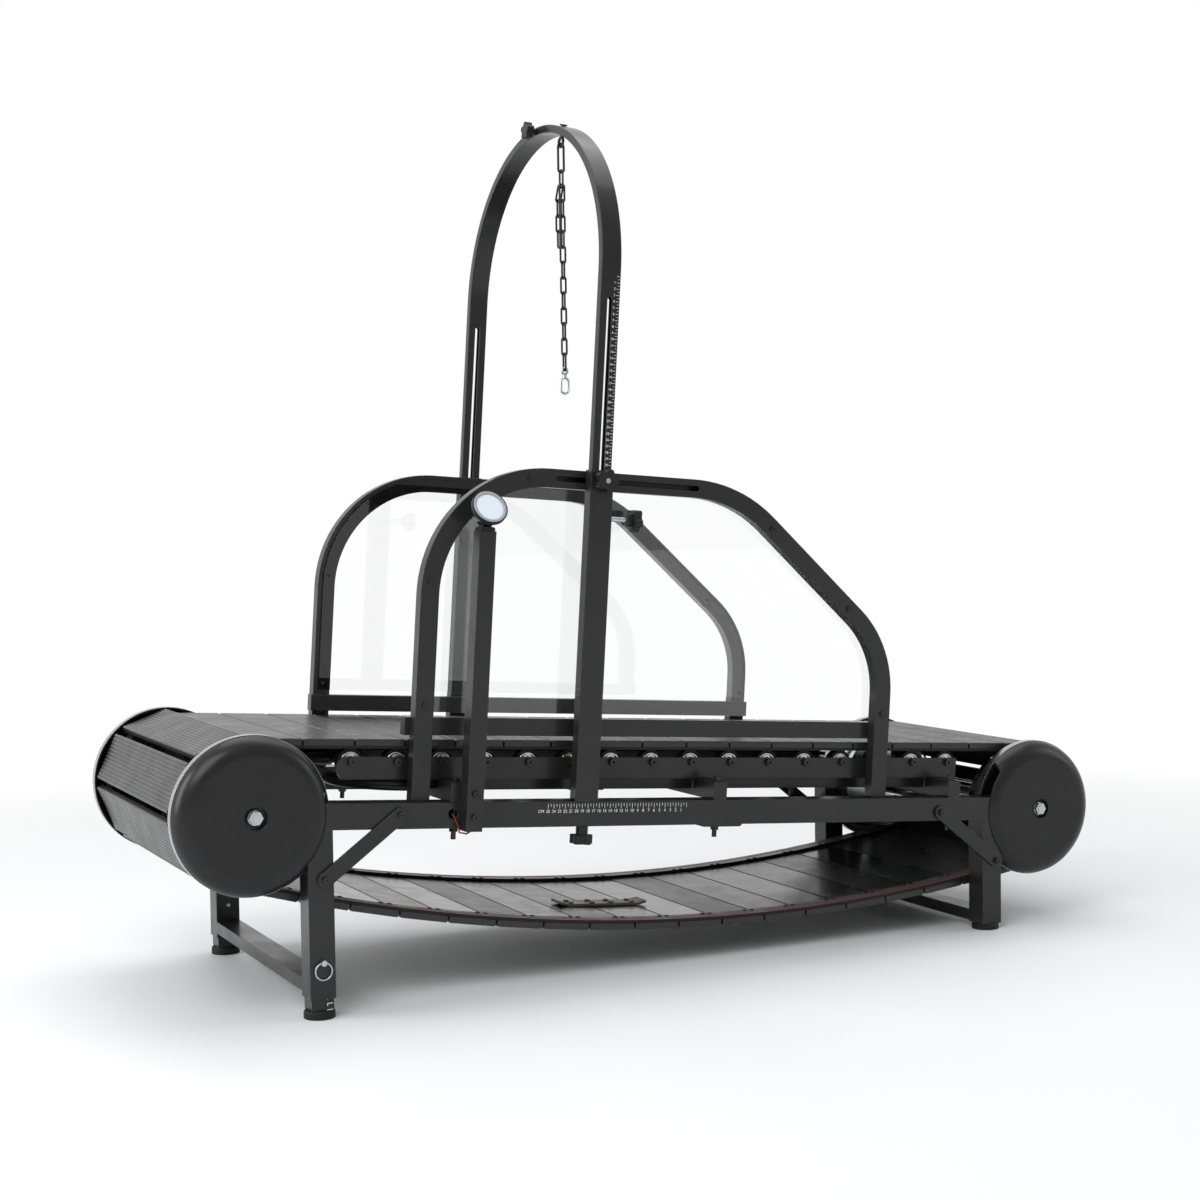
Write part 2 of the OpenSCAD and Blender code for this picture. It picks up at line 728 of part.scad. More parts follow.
// Belt wheels: two bright rims with webs on a common hub tube that runs on the bearings
module wheel_half() {
    difference() {
        rod_y(2 * wheel_r, [wheel_in, wheel_out], $fn = fine);
        rod_y(2 * (wheel_r - rim_t), [wheel_in - 1, wheel_out + 1]);
    }
    difference() {
        rod_y(2 * wheel_r - rim_t, [web_y - web_t, web_y]);
        rod_y(hub_d - 2, [web_y - web_t - 1, web_y + 1]);
        for (a = [0:60:300]) rotate([0, a, 0]) translate([(wheel_r - rim_t + hub_d / 2) / 2, 0, 0])
            rod_y(34, [web_y - web_t - 1, web_y + 1]);
    }
}
module hub_tube() difference() {
    rod_y(hub_d, [-hub_end, hub_end]);
    rod_y(hub_bore, [-hub_end - 1, hub_end + 1]);
    both_sides() rod_y(bearing_d + 2 * run_gap, [hub_end - 1 - bearing_w - slide_gap, hub_end + 1]);
}
module belt_wheels(x) color(ZINC) inclined() translate([x, 0, 0]) {
    hub_tube();
    both_sides() wheel_half();
}
module front_drum() belt_wheels(-axle_x);
module rear_drum() belt_wheels(axle_x);

// Belt loop. loop_at(s) gives the seat point and the outward angle at length s round the loop,
// counted from the front end of the deck
function deg(rad) = rad * 180 / PI;
function wheel_point(x, a) = [x + belt_seat * sin(a), belt_seat * cos(a), a];
function hang_point(a) =
    [(hang_rho + belt_seat) * sin(a), hang_z - (hang_rho + belt_seat) * cos(a), 180 - a];
function loop_at(s) =
    s < axle_dist ? [s - axle_x, belt_seat, 0]
    : s < axle_dist + wheel_run ? wheel_point(axle_x, deg((s - axle_dist) / belt_seat))
    : s < axle_dist + wheel_run + hang_run
        ? hang_point(droop - deg((s - axle_dist - wheel_run) / (hang_rho + belt_seat)))
    : wheel_point(-axle_x, 180 + droop + deg((s - axle_dist - wheel_run - hang_run) / belt_seat));
function slat_s(i) = (i + 0.5) * slat_pitch;
module on_loop(p) translate([p[0], 0, p[1]]) rotate([0, p[2], 0]) children();

module slat() side_view([-slat_half, slat_half]) {
    half = slat_w / 2;
    translate([-half, 0]) square([slat_w, slat_t - slat_edge]);
    translate([-half + slat_edge, 0]) square([slat_w - 2 * slat_edge, slat_t]);
    for (x = [-half + slat_edge, half - slat_edge]) translate([x, slat_t - slat_edge]) circle(r = slat_edge);
}
module slats(from, to) color(SLAT) inclined() for (i = [0:slat_count - 1])
    if (slat_s(i) >= from && slat_s(i) < to) on_loop(loop_at(slat_s(i))) slat();
module slats_deck() slats(0, axle_dist);
module slats_return() slats(axle_dist + wheel_run, axle_dist + wheel_run + hang_run);
module slats_on_drums() {
    slats(axle_dist, axle_dist + wheel_run);
    slats(axle_dist + wheel_run + hang_run, loop_len);
}
// A strap is spliced from four lengths: the deck, the two wheels and the hanging run
module strap_arc(r, angle, facets) rotate_extrude(angle = angle, $fn = facets)
    translate([r, 0]) square([strap_t, strap_w]);
module strap() rotate([90, 0, 0]) translate([0, 0, -strap_y - strap_w]) {
    seam = deg(strap_seam / (hang_rho + belt_in));
    translate([strap_seam - axle_x, belt_in, 0]) cube([axle_dist - 2 * strap_seam, strap_t, strap_w]);
    translate([axle_x, 0, 0]) rotate(droop - 90) strap_arc(belt_in, 180 - droop, fine);
    translate([-axle_x, 0, 0]) rotate(90) strap_arc(belt_in, 180 - droop, fine);
    translate([0, hang_z, 0]) rotate(seam - 90 - droop)
        strap_arc(hang_rho + belt_in, 2 * droop - 2 * seam, 4 * fine);
}
module belt_straps() color(RUBBER) inclined() both_sides() strap();

// Steel plate that joins the two ends of the belt, on the inner side of the hanging run
module belt_splice() color(ZINC) inclined() {
    half = joiner_len / 2;
    flat = half - joiner_curl;
    lift = joiner_curl / 4;
    swing = asin(joiner_x / (hang_rho + belt_seat));
    on_loop(hang_point(swing)) translate([0, joiner_y, -joiner_gap]) mirror([0, 0, 1]) {
        side_view([-joiner_w / 2, joiner_w / 2]) polygon([[-half, lift], [-flat, 0], [flat, 0], [half, lift],
            [half, lift + joiner_t], [flat, joiner_t], [-flat, joiner_t], [-half, lift + joiner_t]]);
        for (x = [-flat + 8, -18, 18, flat - 8], y = [-10, 10]) translate([x, y, 0])
            rod_z(9, [joiner_t, joiner_t + 2.5]);
    }
}

// Bent side frames, their clear panels and the kick bars
// Ends of straight run i of the frame's centre line, moved outward by the lap
function lap_point(i, end, lap) = lap * left(leg_of(guard_path, i))
    + (end == 0 ? guard_path[i] + leg_of(guard_path, i) * tangent(guard_path, guard_radii, i)
        : guard_path[i + 1] - leg_of(guard_path, i) * tangent(guard_path, guard_radii, i + 1));
// The frame's centre line, let out by the lap: round corners, the straight runs and the legs' feet
module guard_outline(lap, drop) intersection() {
    union() {
        feet = [lap_point(3, 1, lap) - [0, drop], lap_point(0, 0, lap) - [0, drop]];
        for (i = [1:3]) translate(bend_centre(guard_path, guard_radii, i))
            circle(r = guard_radii[i - 1] + lap, $fn = fine);
        polygon(concat([for (i = [0:3], end = [0, 1]) lap_point(i, end, lap)], feet));
    }
    translate([guard_front - guard_w, rail_half - drop])
        square([guard_rear - guard_front + 2 * guard_w, guard_top + guard_w]);
}
module guard_ring(half, drop) difference() {
    guard_outline(half, drop);
    guard_outline(-half, drop + 1);
}
module guard() difference() {
    half = slot_w / 2;
    depth = [guard_out - tube_wall - 1, guard_out + 1];
    side_view([guard_in, guard_out]) guard_ring(guard_w / 2, 0);
    side_view([guard_in + tube_wall, guard_out - tube_wall]) guard_ring(guard_w / 2 - tube_wall, 1);
    block(slot_x, depth, [clamp_z - half, clamp_z + half]);
    for (x = slot_x) translate([x, 0, clamp_z]) rod_y(slot_w, depth);
    for (p = panel_screws) panel_screw(p, hole_gap);
}
module side_frames() color(BLACK) inclined() both_sides() guard();
module panel() difference() {
    side_view([guard_in - panel_t, guard_in]) intersection() {
        guard_outline(panel_lap, 0);
        translate([guard_front - guard_w, panel_z])
            square([guard_rear - guard_front + 2 * guard_w, guard_top]);
    }
    for (p = panel_screws) panel_screw(p, hole_gap);
}
module side_panels() color("#c8d4d8", 0.35) inclined() both_sides() panel();
module kick_bar() difference() {
    block(kick_x, [kick_in, guard_in], [kick_z, kick_z + kick_h]);
    block([kick_x[0] + tube_wall, kick_x[1] + 1], [kick_in + tube_wall, guard_in - tube_wall],
        [kick_z + tube_wall, kick_z + kick_h - tube_wall]);
}
module kick_bars() color(BLACK) inclined() both_sides() kick_bar();

// Display post with its bracket on the rail, and the tilting display
module display_ears() for (side = [-1, 1]) difference() {
    x = side > 0 ? [display_lug + seat_gap, display_lug + seat_gap + display_ear]
        : [-display_lug - seat_gap - display_ear, -display_lug - seat_gap];
    union() {
        block(x, [-6.5, 6.5], [display_post_top, display_hinge_z]);
        translate([0, 0, display_hinge_z]) rod_x(13, x);
    }
    translate([0, 0, display_hinge_z]) rod_x(display_pin_d + 2 * run_gap, [x[0] - 1, x[1] + 1]);
}
module display_post() color(BLACK) inclined() near_side() difference() {
    half = display_post_w / 2;
    bore = half - tube_wall;
    plate_x = [bracket_x, display_x + half];
    union() {
        translate([display_x, display_post_y, 0]) {
            difference() {
                block([-half, half], [-half, half], [display_post_end, display_post_top]);
                block([-bore, bore], [-bore, bore], [display_post_end - 1, display_post_top - tube_wall]);
            }
            display_ears();
        }
        block(plate_x, [rail_out - bracket_t, rail_out], [rail_half, display_bolt_z[1] + 12]);
        block(plate_x, [rail_y, rail_out], [rail_half, rail_half + bracket_t]);
    }
    for (z = display_bolt_z) display_bolt(z, hole_gap);
}
// Turns local Z into the direction that the display faces, with its hinge at the origin
module at_display() inclined() near_side() translate([display_x, display_post_y, display_hinge_z])
    rotate([display_tilt - 90, 0, 0]) children();
module display_head() color(BLACK) at_display() {
    rod_x(display_pin_d, [-display_lug - 8, display_lug + 8]);
    rod_x(11, [-display_lug, display_lug]);
    block([-display_lug, display_lug], [-12, 0], [-5.5, display_back + 1]);
    translate([0, -display_rise, display_back]) difference() {
        union() {
            cylinder(d1 = display_d - 10, d2 = display_d, h = display_depth - 6);
            translate([0, 0, display_depth - 6]) cylinder(d = display_d, h = 6);
        }
        translate([0, 0, display_depth - lens_t - 1]) cylinder(d = lens_d, h = lens_t + 2);
    }
}
module display_lens() color("#dfe9ee") at_display()
    translate([0, -display_rise, display_back + display_depth - lens_t - 1])
        cylinder(d = lens_d - 2 * hole_gap, h = lens_t);

// Sensor lead: straight runs with round elbows along its route
module sensor_lead() color(RED) inclined() for (i = [0:len(lead_route) - 2]) {
    run = lead_route[i + 1] - lead_route[i];
    translate(lead_route[i]) rotate([0, acos(run[2] / norm(run)), heading(run)])
        cylinder(d = lead_d, h = norm(run), $fn = 24);
    translate(lead_route[i + 1]) sphere(d = lead_elbow_d, $fn = 24);
}
// Speed sensor: a short barrel with a collar on the far rail
module speed_sensor() color(BLACK) inclined() translate([sensor_at[0], 0, sensor_at[1]]) {
    rod_y(sensor_d, [rail_in - sensor_len, rail_in]);
    rod_y(sensor_d + 6, [rail_in - 5, rail_in - 2]);
}

// Arch: two posts that slide along the rails, and the hoop that telescopes out of them
module at_post() translate([post_x, post_y, 0]) children();
module post() difference() {
    block([-post_w / 2, post_w / 2], [-post_t / 2, post_t / 2], [post_foot, post_top]);
    block([-post_bore_x / 2, post_bore_x / 2], [-post_bore_y / 2, post_bore_y / 2],
        [post_foot + post_plug, post_top + 1]);
    translate([0, foot_stud_y - post_y, 0]) rod_z(stud_d + 2 * hole_gap, [post_foot - 1, foot_stud_top]);
    translate([0, 0, clamp_z]) rod_y(stud_d + 2 * hole_gap, [-post_t, post_t]);
}
module arch_posts() color(BLACK) inclined() {
    at_post() post();
    near_side() at_post() difference() {
        post();
        translate([0, 0, set_z]) rod_x(stud_d + 2 * hole_gap, [post_bore_x / 2 - 1, post_w]);
    }
}
// Threaded studs: through the top of the posts, down through the rails, and the set screw
module clamp_stud() translate([0, 0, clamp_z]) {
    head = guard_out - tube_wall - seat_gap - post_y;
    half = tee_size / 2;
    rod_y(stud_d, [head - 1, post_t / 2 + seat_gap + knob_boss_t + knob_t]);
    block([-half, half], [head - tee_t, head], [-half, half]);
}
module foot_stud() translate([0, foot_stud_y - post_y, 0])
    rod_z(stud_d, [-rail_half - seat_gap - rail_knob_stem - knob_t, foot_stud_top]);
module post_studs() color(ZINC) inclined() {
    both_sides() at_post() {
        clamp_stud();
        foot_stud();
    }
    near_side() at_post() translate([0, 0, set_z])
        rod_x(stud_d, [hoop_w / 2 + seat_gap, post_w / 2 + set_reach]);
}
// Star knob along +Z: a boss, then five lobes round a hub, with a bore for its stud
module star_knob(r, lobe, thick, boss_r, boss_t, bore) difference() {
    union() {
        cylinder(r = boss_r, h = boss_t + 1);
        translate([0, 0, boss_t]) {
            cylinder(r = r - lobe + 1, h = thick);
            for (a = [0:72:288]) rotate(a) translate([r - lobe, 0, 0]) cylinder(r = lobe, h = thick);
        }
    }
    translate([0, 0, -1]) cylinder(d = bore + 2 * run_gap, h = boss_t + thick + 2);
}
module stud_knob(boss_t) star_knob(knob_r, knob_lobe, knob_t, knob_boss_r, boss_t, stud_d);
module clamp_knob() at_post() translate([0, post_t / 2 + seat_gap, clamp_z]) rotate([-90, 0, 0])
    stud_knob(knob_boss_t);
module rail_knob() at_post() translate([0, foot_stud_y - post_y, -rail_half - seat_gap]) rotate([180, 0, 0])
    stud_knob(rail_knob_stem);
module clamp_knob_far() color(RUBBER) inclined() clamp_knob();
module clamp_knob_near() color(RUBBER) inclined() near_side() clamp_knob();
module rail_knob_far() color(RUBBER) inclined() rail_knob();
module rail_knob_near() color(RUBBER) inclined() near_side() rail_knob();
module height_knob() color(RUBBER) inclined() near_side() at_post()
    translate([post_w / 2 + set_reach - knob_t - knob_boss_t, 0, set_z]) rotate([0, 90, 0])
        stud_knob(knob_boss_t);

// Hoop of flat tube with a slot in each leg, and the eye bolt in its crown
module hoop_body(w, t, extra) translate([post_x, 0, hoop_z]) {
    rotate([90, 0, 90]) rotate_extrude(angle = 180, $fn = fine)
        translate([hoop_r, 0]) square([t, w], center = true);
    both_sides() block([-w / 2, w / 2], [hoop_r - t / 2, hoop_r + t / 2], [hoop_end - hoop_z - extra, 0]);
}
module at_crown() translate([post_x, 0, hoop_z]) rotate([eye_tilt, 0, 0]) children();
module at_top_knob() translate([post_x - hoop_w / 2, top_knob_y, hoop_top - hoop_t / 2]) children();
module hoop_tube() difference() {
    hoop_body(hoop_w, hoop_t, 0);
    hoop_body(hoop_w - 2 * hoop_wall, hoop_t - 2 * hoop_wall, 1);
    both_sides() at_post() {
        block([-slot_w / 2, slot_w / 2], [-hoop_t, hoop_t], hoop_slot);
        for (z = hoop_slot) translate([0, 0, z]) rod_y(slot_w, [-hoop_t, hoop_t]);
    }
    at_crown() rod_z(eye_shank + 2 * hole_gap, [hoop_r - hoop_t, hoop_r + hoop_t]);
    at_top_knob() rod_x(top_stud_d + 2 * hole_gap, [-1, hoop_wall + 1]);
}
module eye_bolt() at_crown() {
    outer = hoop_r + hoop_t / 2 + 0.6;
    inner = hoop_r - hoop_t / 2 - 0.6;
    rod_z(eye_shank, [eye_rad + eye_r, outer + 3]);
    rod_z(13, [outer, outer + 3]);
    rod_z(10, [inner - 1.5, inner]);
    translate([0, 0, eye_rad]) rotate([0, 90, 0]) rotate_extrude() translate([eye_r, 0]) circle(r = eye_wire);
}
module top_stud() at_top_knob() rod_x(top_stud_d, [-seat_gap - knob_boss_t - top_knob_t, hoop_wall + 6]);
module arch_hoop() color(BLACK) inclined() {
    hoop_tube();
    eye_bolt();
    top_stud();
}
module top_knob() color(RUBBER) inclined() at_top_knob() translate([-seat_gap, 0, 0]) rotate([0, -90, 0])
    star_knob(top_knob_r, top_knob_lobe, top_knob_t, 6, knob_boss_t, top_stud_d);

// Round-wire link in the X, Z plane; the origin is the centre of its top bend
module link(inner_len, inner_gap, wire) {
    r = inner_gap / 2 + wire / 2;
    drop = inner_len - inner_gap;
    for (x = [-r, r]) translate([x, 0, -drop]) cylinder(d = wire, h = drop, $fn = 24);
    rotate([90, 0, 0]) rotate_extrude(angle = 180) translate([r, 0]) circle(d = wire, $fn = 24);
    translate([0, 0, -drop]) rotate([-90, 0, 0]) rotate_extrude(angle = 180)
        translate([r, 0]) circle(d = wire, $fn = 24);
}
module chain_link() link(link_len, link_gap, chain_wire);
// Depth of the top bend of link i below the pivot; link 1 is the wide one that also holds the tail
function link_drop(i) = i == 1 ? top_link_len - top_link_gap / 2 - seat_gap + fork_gap / 2
    : link_drop(1) + link_len - fork_gap / 2 + link_gap / 2 - seat_gap - fork_rise + (i - 2) * link_step;
module tail() translate([0, fork_y, link_r - link_drop(2)]) {
    rotate([tail_tilt, 0, 0]) translate([0, 0, -link_r]) chain_link();
    translate([0, link_step * sin(tail_tilt), -link_step * cos(tail_tilt) - link_r])
        for (i = [2:tail_count]) translate([0, 0, -(i - 2) * link_step])
            rotate(i % 2 == 0 ? 90 : 0) chain_link();
}
module leash_chain() color(BLACK) standing() translate([plumb_x, pivot_y, plumb_z]) {
    link(top_link_len, top_link_gap, top_wire);
    translate([0, 0, -link_drop(1)]) rotate(90) link(link_len, fork_gap, chain_wire);
    for (i = [2:link_count]) translate([0, -fork_y, -link_drop(i)]) rotate(i % 2 == 1 ? 90 : 0) chain_link();
    tail();
}
// Snap hook: an eye on the last link, a neck and a long bow with its thinner sprung gate
hook_drop = link_drop(link_count) + link_len - link_gap / 2 + hook_eye_r - hook_wire - seat_gap;
module wire_bend(r, wire, angle) rotate([90, 0, 0]) rotate_extrude(angle = angle)
    translate([r, 0]) circle(r = wire, $fn = 24);
module snap_hook() color(ZINC) standing() translate([plumb_x, pivot_y - fork_y, plumb_z - hook_drop]) {
    neck = -hook_eye_r - hook_wire + 1;
    bow = neck - hook_neck - hook_r + 1;
    wire_bend(hook_eye_r, hook_wire, 360);
    rod_z(8, [neck - hook_neck, neck]);
    translate([0, 0, bow]) {
        wire_bend(hook_r, hook_wire, 180);
        translate([-hook_r, 0, -hook_len]) cylinder(r = hook_wire, h = hook_len, $fn = 24);
        translate([hook_r, 0, -hook_len]) cylinder(r = hook_wire - 0.5, h = hook_len, $fn = 24);
        translate([0, 0, -hook_len]) rotate([180, 0, 0]) wire_bend(hook_r, hook_wire, 180);
    }
}

side_rails();
cross_tubes();
front_leg_frame();
rear_leg_frame();
leg_braces();
rear_feet();
roller_rails();
frame_bolts();
axles();
wheel_bearings();
axle_nuts();
drum_covers();
belt_straps();
slats_deck();
slats_return();
slats_on_drums();
belt_splice();
side_frames();
side_panels();
kick_bars();
display_post();
sensor_lead();
speed_sensor();
front_drum();
rear_drum();
inner_leg_near();
inner_leg_far();
front_foot_near();
front_foot_far();
leg_pin_near();
leg_pin_far();
arch_posts();
post_studs();
arch_hoop();
leash_chain();
snap_hook();
display_head();
display_lens();
clamp_knob_near();
clamp_knob_far();
height_knob();
rail_knob_near();
rail_knob_far();
top_knob();
for (i = [0:roller_count - 1]) deck_roller(i);
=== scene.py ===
import json
import math

import bmesh
import bpy
from mathutils import Matrix, Vector


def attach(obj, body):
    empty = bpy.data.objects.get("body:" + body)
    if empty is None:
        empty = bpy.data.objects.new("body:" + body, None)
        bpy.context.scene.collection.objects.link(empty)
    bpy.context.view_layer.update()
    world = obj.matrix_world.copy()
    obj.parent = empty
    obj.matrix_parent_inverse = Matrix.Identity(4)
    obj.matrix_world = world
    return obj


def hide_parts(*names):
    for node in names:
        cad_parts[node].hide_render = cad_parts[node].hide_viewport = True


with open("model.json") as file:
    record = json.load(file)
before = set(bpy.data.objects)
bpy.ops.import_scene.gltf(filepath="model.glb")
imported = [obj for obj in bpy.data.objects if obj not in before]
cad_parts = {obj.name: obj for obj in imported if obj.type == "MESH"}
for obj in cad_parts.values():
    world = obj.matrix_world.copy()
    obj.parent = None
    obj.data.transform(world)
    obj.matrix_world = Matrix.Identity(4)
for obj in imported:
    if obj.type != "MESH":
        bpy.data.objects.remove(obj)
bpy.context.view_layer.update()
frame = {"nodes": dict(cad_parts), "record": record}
NODES = frame["nodes"]

NEAR, FAR = -1, 1
SIDES = (NEAR, FAR)

# Sizes that the solids have too, in metres and radians, in the machine's own frame: X along the rails,
# Y across, and the origin midway between the axles
INCLINE = math.radians(4.08)
SHIFT = 0.008608
AXLE_H = 0.2604
AXLE_X = 0.72665
BELT_IN = 0.0980
STRAP_T = 0.0045
STRAP_W = 0.034
STRAP_GAP = 0.0001
DROOP = math.radians(13.34)
SLAT_T = 0.0105
SLAT_HALF = 0.228
SLAT_COUNT = 43
SLAT_GAP = 0.0035
RAIL_OUT = 0.272
RAIL_HALF = 0.020
CROSS_X = (-0.404, 0.063, 0.539)
HANDLE_REACH = 0.148
HANDLE_Y = 0.190
HANDLE_Z = 0.040
HANDLE_BEND = 0.100
ROLLER_PITCH = 0.07467
ROLLER_COUNT = 16
ROLLER_MIDDLE = -0.0025
ROLLER_FIRST = ROLLER_MIDDLE - (ROLLER_COUNT - 1) / 2 * ROLLER_PITCH
ROLLER_Z = 0.0772
ROLLER_IN = 0.200
ROLLER_OUT = 0.216
ROLLER_RECESS = 0.0008
COVER_R = 0.1204
COVER_RIM = 0.240
WASHER_FACE = 0.2745
POST_X = -0.185
HOOP_W = 0.034
HOOP_FACE = 0.2725
DISPLAY_X = -0.387
DISPLAY_Y = -0.2855
DISPLAY_POST_TOP = 0.440
DISPLAY_HINGE = 0.452
DISPLAY_RISE = 0.014
DISPLAY_TILT = math.radians(30)
# The legs stand plumb, so these two are not in that frame
FRONT_LEG_X = -0.625
INNER_LEG_FACE = 0.2695

# The machine's middle plane lies SHIFT off the middle of its box, because the display stands on one side
MACHINE = Matrix.Translation((0, SHIFT, AXLE_H)) @ Matrix.Rotation(INCLINE, 4, "Y")
# Local X, Y, Z of a mark on the near side: along the rails, up, and out towards the viewer
NEAR_FACE = Matrix(((1, 0, 0, 0), (0, 0, -1, 0), (0, 1, 0, 0), (0, 0, 0, 1)))

# Runs of the belt's loop at the slats' seat: deck, rear wheel, hanging run on one arc, front wheel
BELT_SEAT = BELT_IN + STRAP_T + STRAP_GAP
HANG_R = AXLE_X / math.sin(DROOP) + BELT_SEAT
HANG_CENTRE = AXLE_X / math.tan(DROOP)
DECK_RUN = 2 * AXLE_X
WHEEL_RUN = BELT_SEAT * (math.pi - DROOP)
HANG_RUN = 2 * DROOP * HANG_R
HANG_START = DECK_RUN + WHEEL_RUN
HANG_END = HANG_START + HANG_RUN
SLAT_PITCH = (HANG_END + WHEEL_RUN) / SLAT_COUNT
SLAT_MIDDLES = [(i + 0.5) * SLAT_PITCH for i in range(SLAT_COUNT)]
# Height of the straps' inner face, below the slats' seat
STRAP_FACE = -(STRAP_T + STRAP_GAP)

# Noise and wear that most materials share
CLOUD_DETAIL = 7.0
SMEAR_SCALE, SMEAR_DETAIL = 23.0, 5.0
WEAR_SCALE, WEAR_DETAIL = 60.0, 5.0
WEAR_SPAN = (0.42, 0.68)
EDGE_SPAN = (0.80, 0.98)
GRAIN_DETAIL, GRAIN_DEPTH = 3.0, 0.0002


# Node helpers
class Nodes:
    """Short ways to add nodes to one node tree and to link them."""

    def __init__(self, tree):
        self.tree = tree

    def node(self, kind, **values):
        node = self.tree.nodes.new(kind)
        for key, value in values.items():
            setattr(node, key, value)
        return node

    def feed(self, socket, value):
        """Links a node's output to the socket, or sets a plain value on it."""
        if isinstance(value, bpy.types.NodeSocket):
            self.tree.links.new(value, socket)
        else:
            socket.default_value = value

    def span(self, value, low, high, start=0.3, end=0.7):
        """Maps start to low and end to high; the middle range of a noise is the default."""
        node = self.node("ShaderNodeMapRange")
        for key, number in (("Value", value), ("From Min", start), ("From Max", end), ("To Min", low),
                            ("To Max", high)):
            self.feed(node.inputs[key], number)
        return node.outputs[0]

    def math(self, operation, a, b):
        node = self.node("ShaderNodeMath", operation=operation)
        self.feed(node.inputs[0], a)
        self.feed(node.inputs[1], b)
        return node.outputs[0]

    def seen_by(self, *rays):
        """1 for the named kinds of ray, 0 for the others."""
        path = self.node("ShaderNodeLightPath")
        total = path.outputs[rays[0]]
        for ray in rays[1:]:
            total = self.math("MAXIMUM", total, path.outputs[ray])
        return total


class Shader(Nodes):
    """A principled material with object coordinates."""

    def __init__(self, name):
        self.mat = bpy.data.materials.new(name)
        self.mat.use_nodes = True
        super().__init__(self.mat.node_tree)
        self.tree.nodes.clear()
        self.out = self.node("ShaderNodeOutputMaterial").inputs["Surface"]
        self.bsdf = self.node("ShaderNodeBsdfPrincipled")
        self.feed(self.out, self.bsdf.outputs[0])
        self.coord = self.node("ShaderNodeTexCoord").outputs["Object"]

    def set(self, **values):
        """Feeds the shader's own sockets, named with _ for each space."""
        for key, value in values.items():
            self.feed(self.bsdf.inputs[key.replace("_", " ")], value)

    def noise(self, scale, detail=4.0):
        node = self.node("ShaderNodeTexNoise")
        node.inputs["Scale"].default_value = scale
        node.inputs["Detail"].default_value = detail
        self.feed(node.inputs["Vector"], self.coord)
        return node.outputs["Fac"]

    def mix(self, factor, a, b):
        """A blend of two colours, each a plain one or a node's."""
        node = self.node("ShaderNodeMix", data_type="RGBA")
        self.feed(node.inputs[0], factor)
        # The colour sockets share their names with the other kinds, so they go by number
        for index, color in ((6, a), (7, b)):
            self.feed(node.inputs[index], (*color, 1) if isinstance(color, tuple) else color)
        return node.outputs[2]

    def rounded(self, radius):
        node = self.node("ShaderNodeBevel", samples=4)
        node.inputs["Radius"].default_value = radius
        return node.outputs[0]

    def edges(self, soft):
        """1 on sharp edges, 0 on flat faces, from how far the rounded normal turns away."""
        dot = self.node("ShaderNodeVectorMath", operation="DOT_PRODUCT")
        self.feed(dot.inputs[0], soft)
        self.feed(dot.inputs[1], self.node("ShaderNodeNewGeometry").outputs["Normal"])
        return self.span(dot.outputs["Value"], 1.0, 0.0, *EDGE_SPAN)

    def grain(self, scale, strength, soft):
        """Fine bump over the rounded normal."""
        node = self.node("ShaderNodeBump")
        node.inputs["Strength"].default_value = strength
        node.inputs["Distance"].default_value = GRAIN_DEPTH
        self.feed(node.inputs["Height"], self.noise(scale, GRAIN_DETAIL))
        self.feed(node.inputs["Normal"], soft)
        self.set(Normal=node.outputs[0])


# Materials
def scaled(color, factor):
    return tuple(c * factor for c in color)


def surface(name, color, rough, metallic=0.0, mottle=0.18, mottle_scale=7.0, rough_span=0.07,
            grain_scale=900.0, grain=0.12, edge=0.0012, wear=None, **fixed):
    """Mottled colour, uneven gloss, fine grain, rounded edges and, where worn, lighter ones."""
    s = Shader(name)
    clouds = s.noise(mottle_scale, CLOUD_DETAIL)
    tint = s.mix(clouds, scaled(color, 1 - mottle), scaled(color, 1 + mottle))
    soft = s.rounded(edge)
    if wear:
        patches = s.span(s.noise(WEAR_SCALE, WEAR_DETAIL), 0.0, 1.0, *WEAR_SPAN)
        tint = s.mix(s.math("MULTIPLY", s.edges(soft), patches), tint, wear)
    smears = s.noise(SMEAR_SCALE, SMEAR_DETAIL)
    gloss = s.span(smears, rough - rough_span, rough + rough_span)
    s.set(Base_Color=tint, Roughness=gloss, Metallic=metallic, **fixed)
    s.grain(grain_scale, grain, soft)
    return s.mat


def smooth_slats(name):
    """Inner face of the hanging slats: smooth, with tone and gloss that differ from slat to slat."""
    s = Shader(name)
    each = s.node("ShaderNodeNewGeometry").outputs["Random Per Island"]
    own_tone = s.mix(each, (0.008, 0.008, 0.009), (0.026, 0.026, 0.027))
    tint = s.mix(s.noise(5.0, CLOUD_DETAIL), own_tone, (0.018, 0.018, 0.019))
    own_gloss = s.span(each, 0.34, 0.15, 0.0, 1.0)
    smears = s.span(s.noise(SMEAR_SCALE, SMEAR_DETAIL), -0.04, 0.04)
    s.set(Base_Color=tint, Roughness=s.math("ADD", smears, own_gloss), Specular_IOR_Level=0.5)
    s.grain(700.0, 0.08, s.rounded(0.0006))
    return s.mat


def clear_panel(name):
    s = Shader(name)
    tint = s.mix(s.noise(3.0), (0.985, 0.99, 0.99), (1.0, 1.0, 1.0))
    haze = s.span(s.noise(14.0, 6.0), 0.0, 0.02)
    s.set(Base_Color=tint, Roughness=haze, Transmission_Weight=1.0, IOR=1.55)
    return s.mat


def lit_face(name):
    s = Shader(name)
    glow = s.mix(s.noise(60.0), (0.70, 0.78, 0.87), (0.76, 0.83, 0.91))
    gloss = s.span(s.noise(200.0), 0.08, 0.16)
    # The face glows faintly in its own colour: painted light that brightens it, as the face is no lamp
    s.set(Base_Color=glow, Emission_Color=glow, Roughness=gloss, Emission_Strength=0.06)
    return s.mat


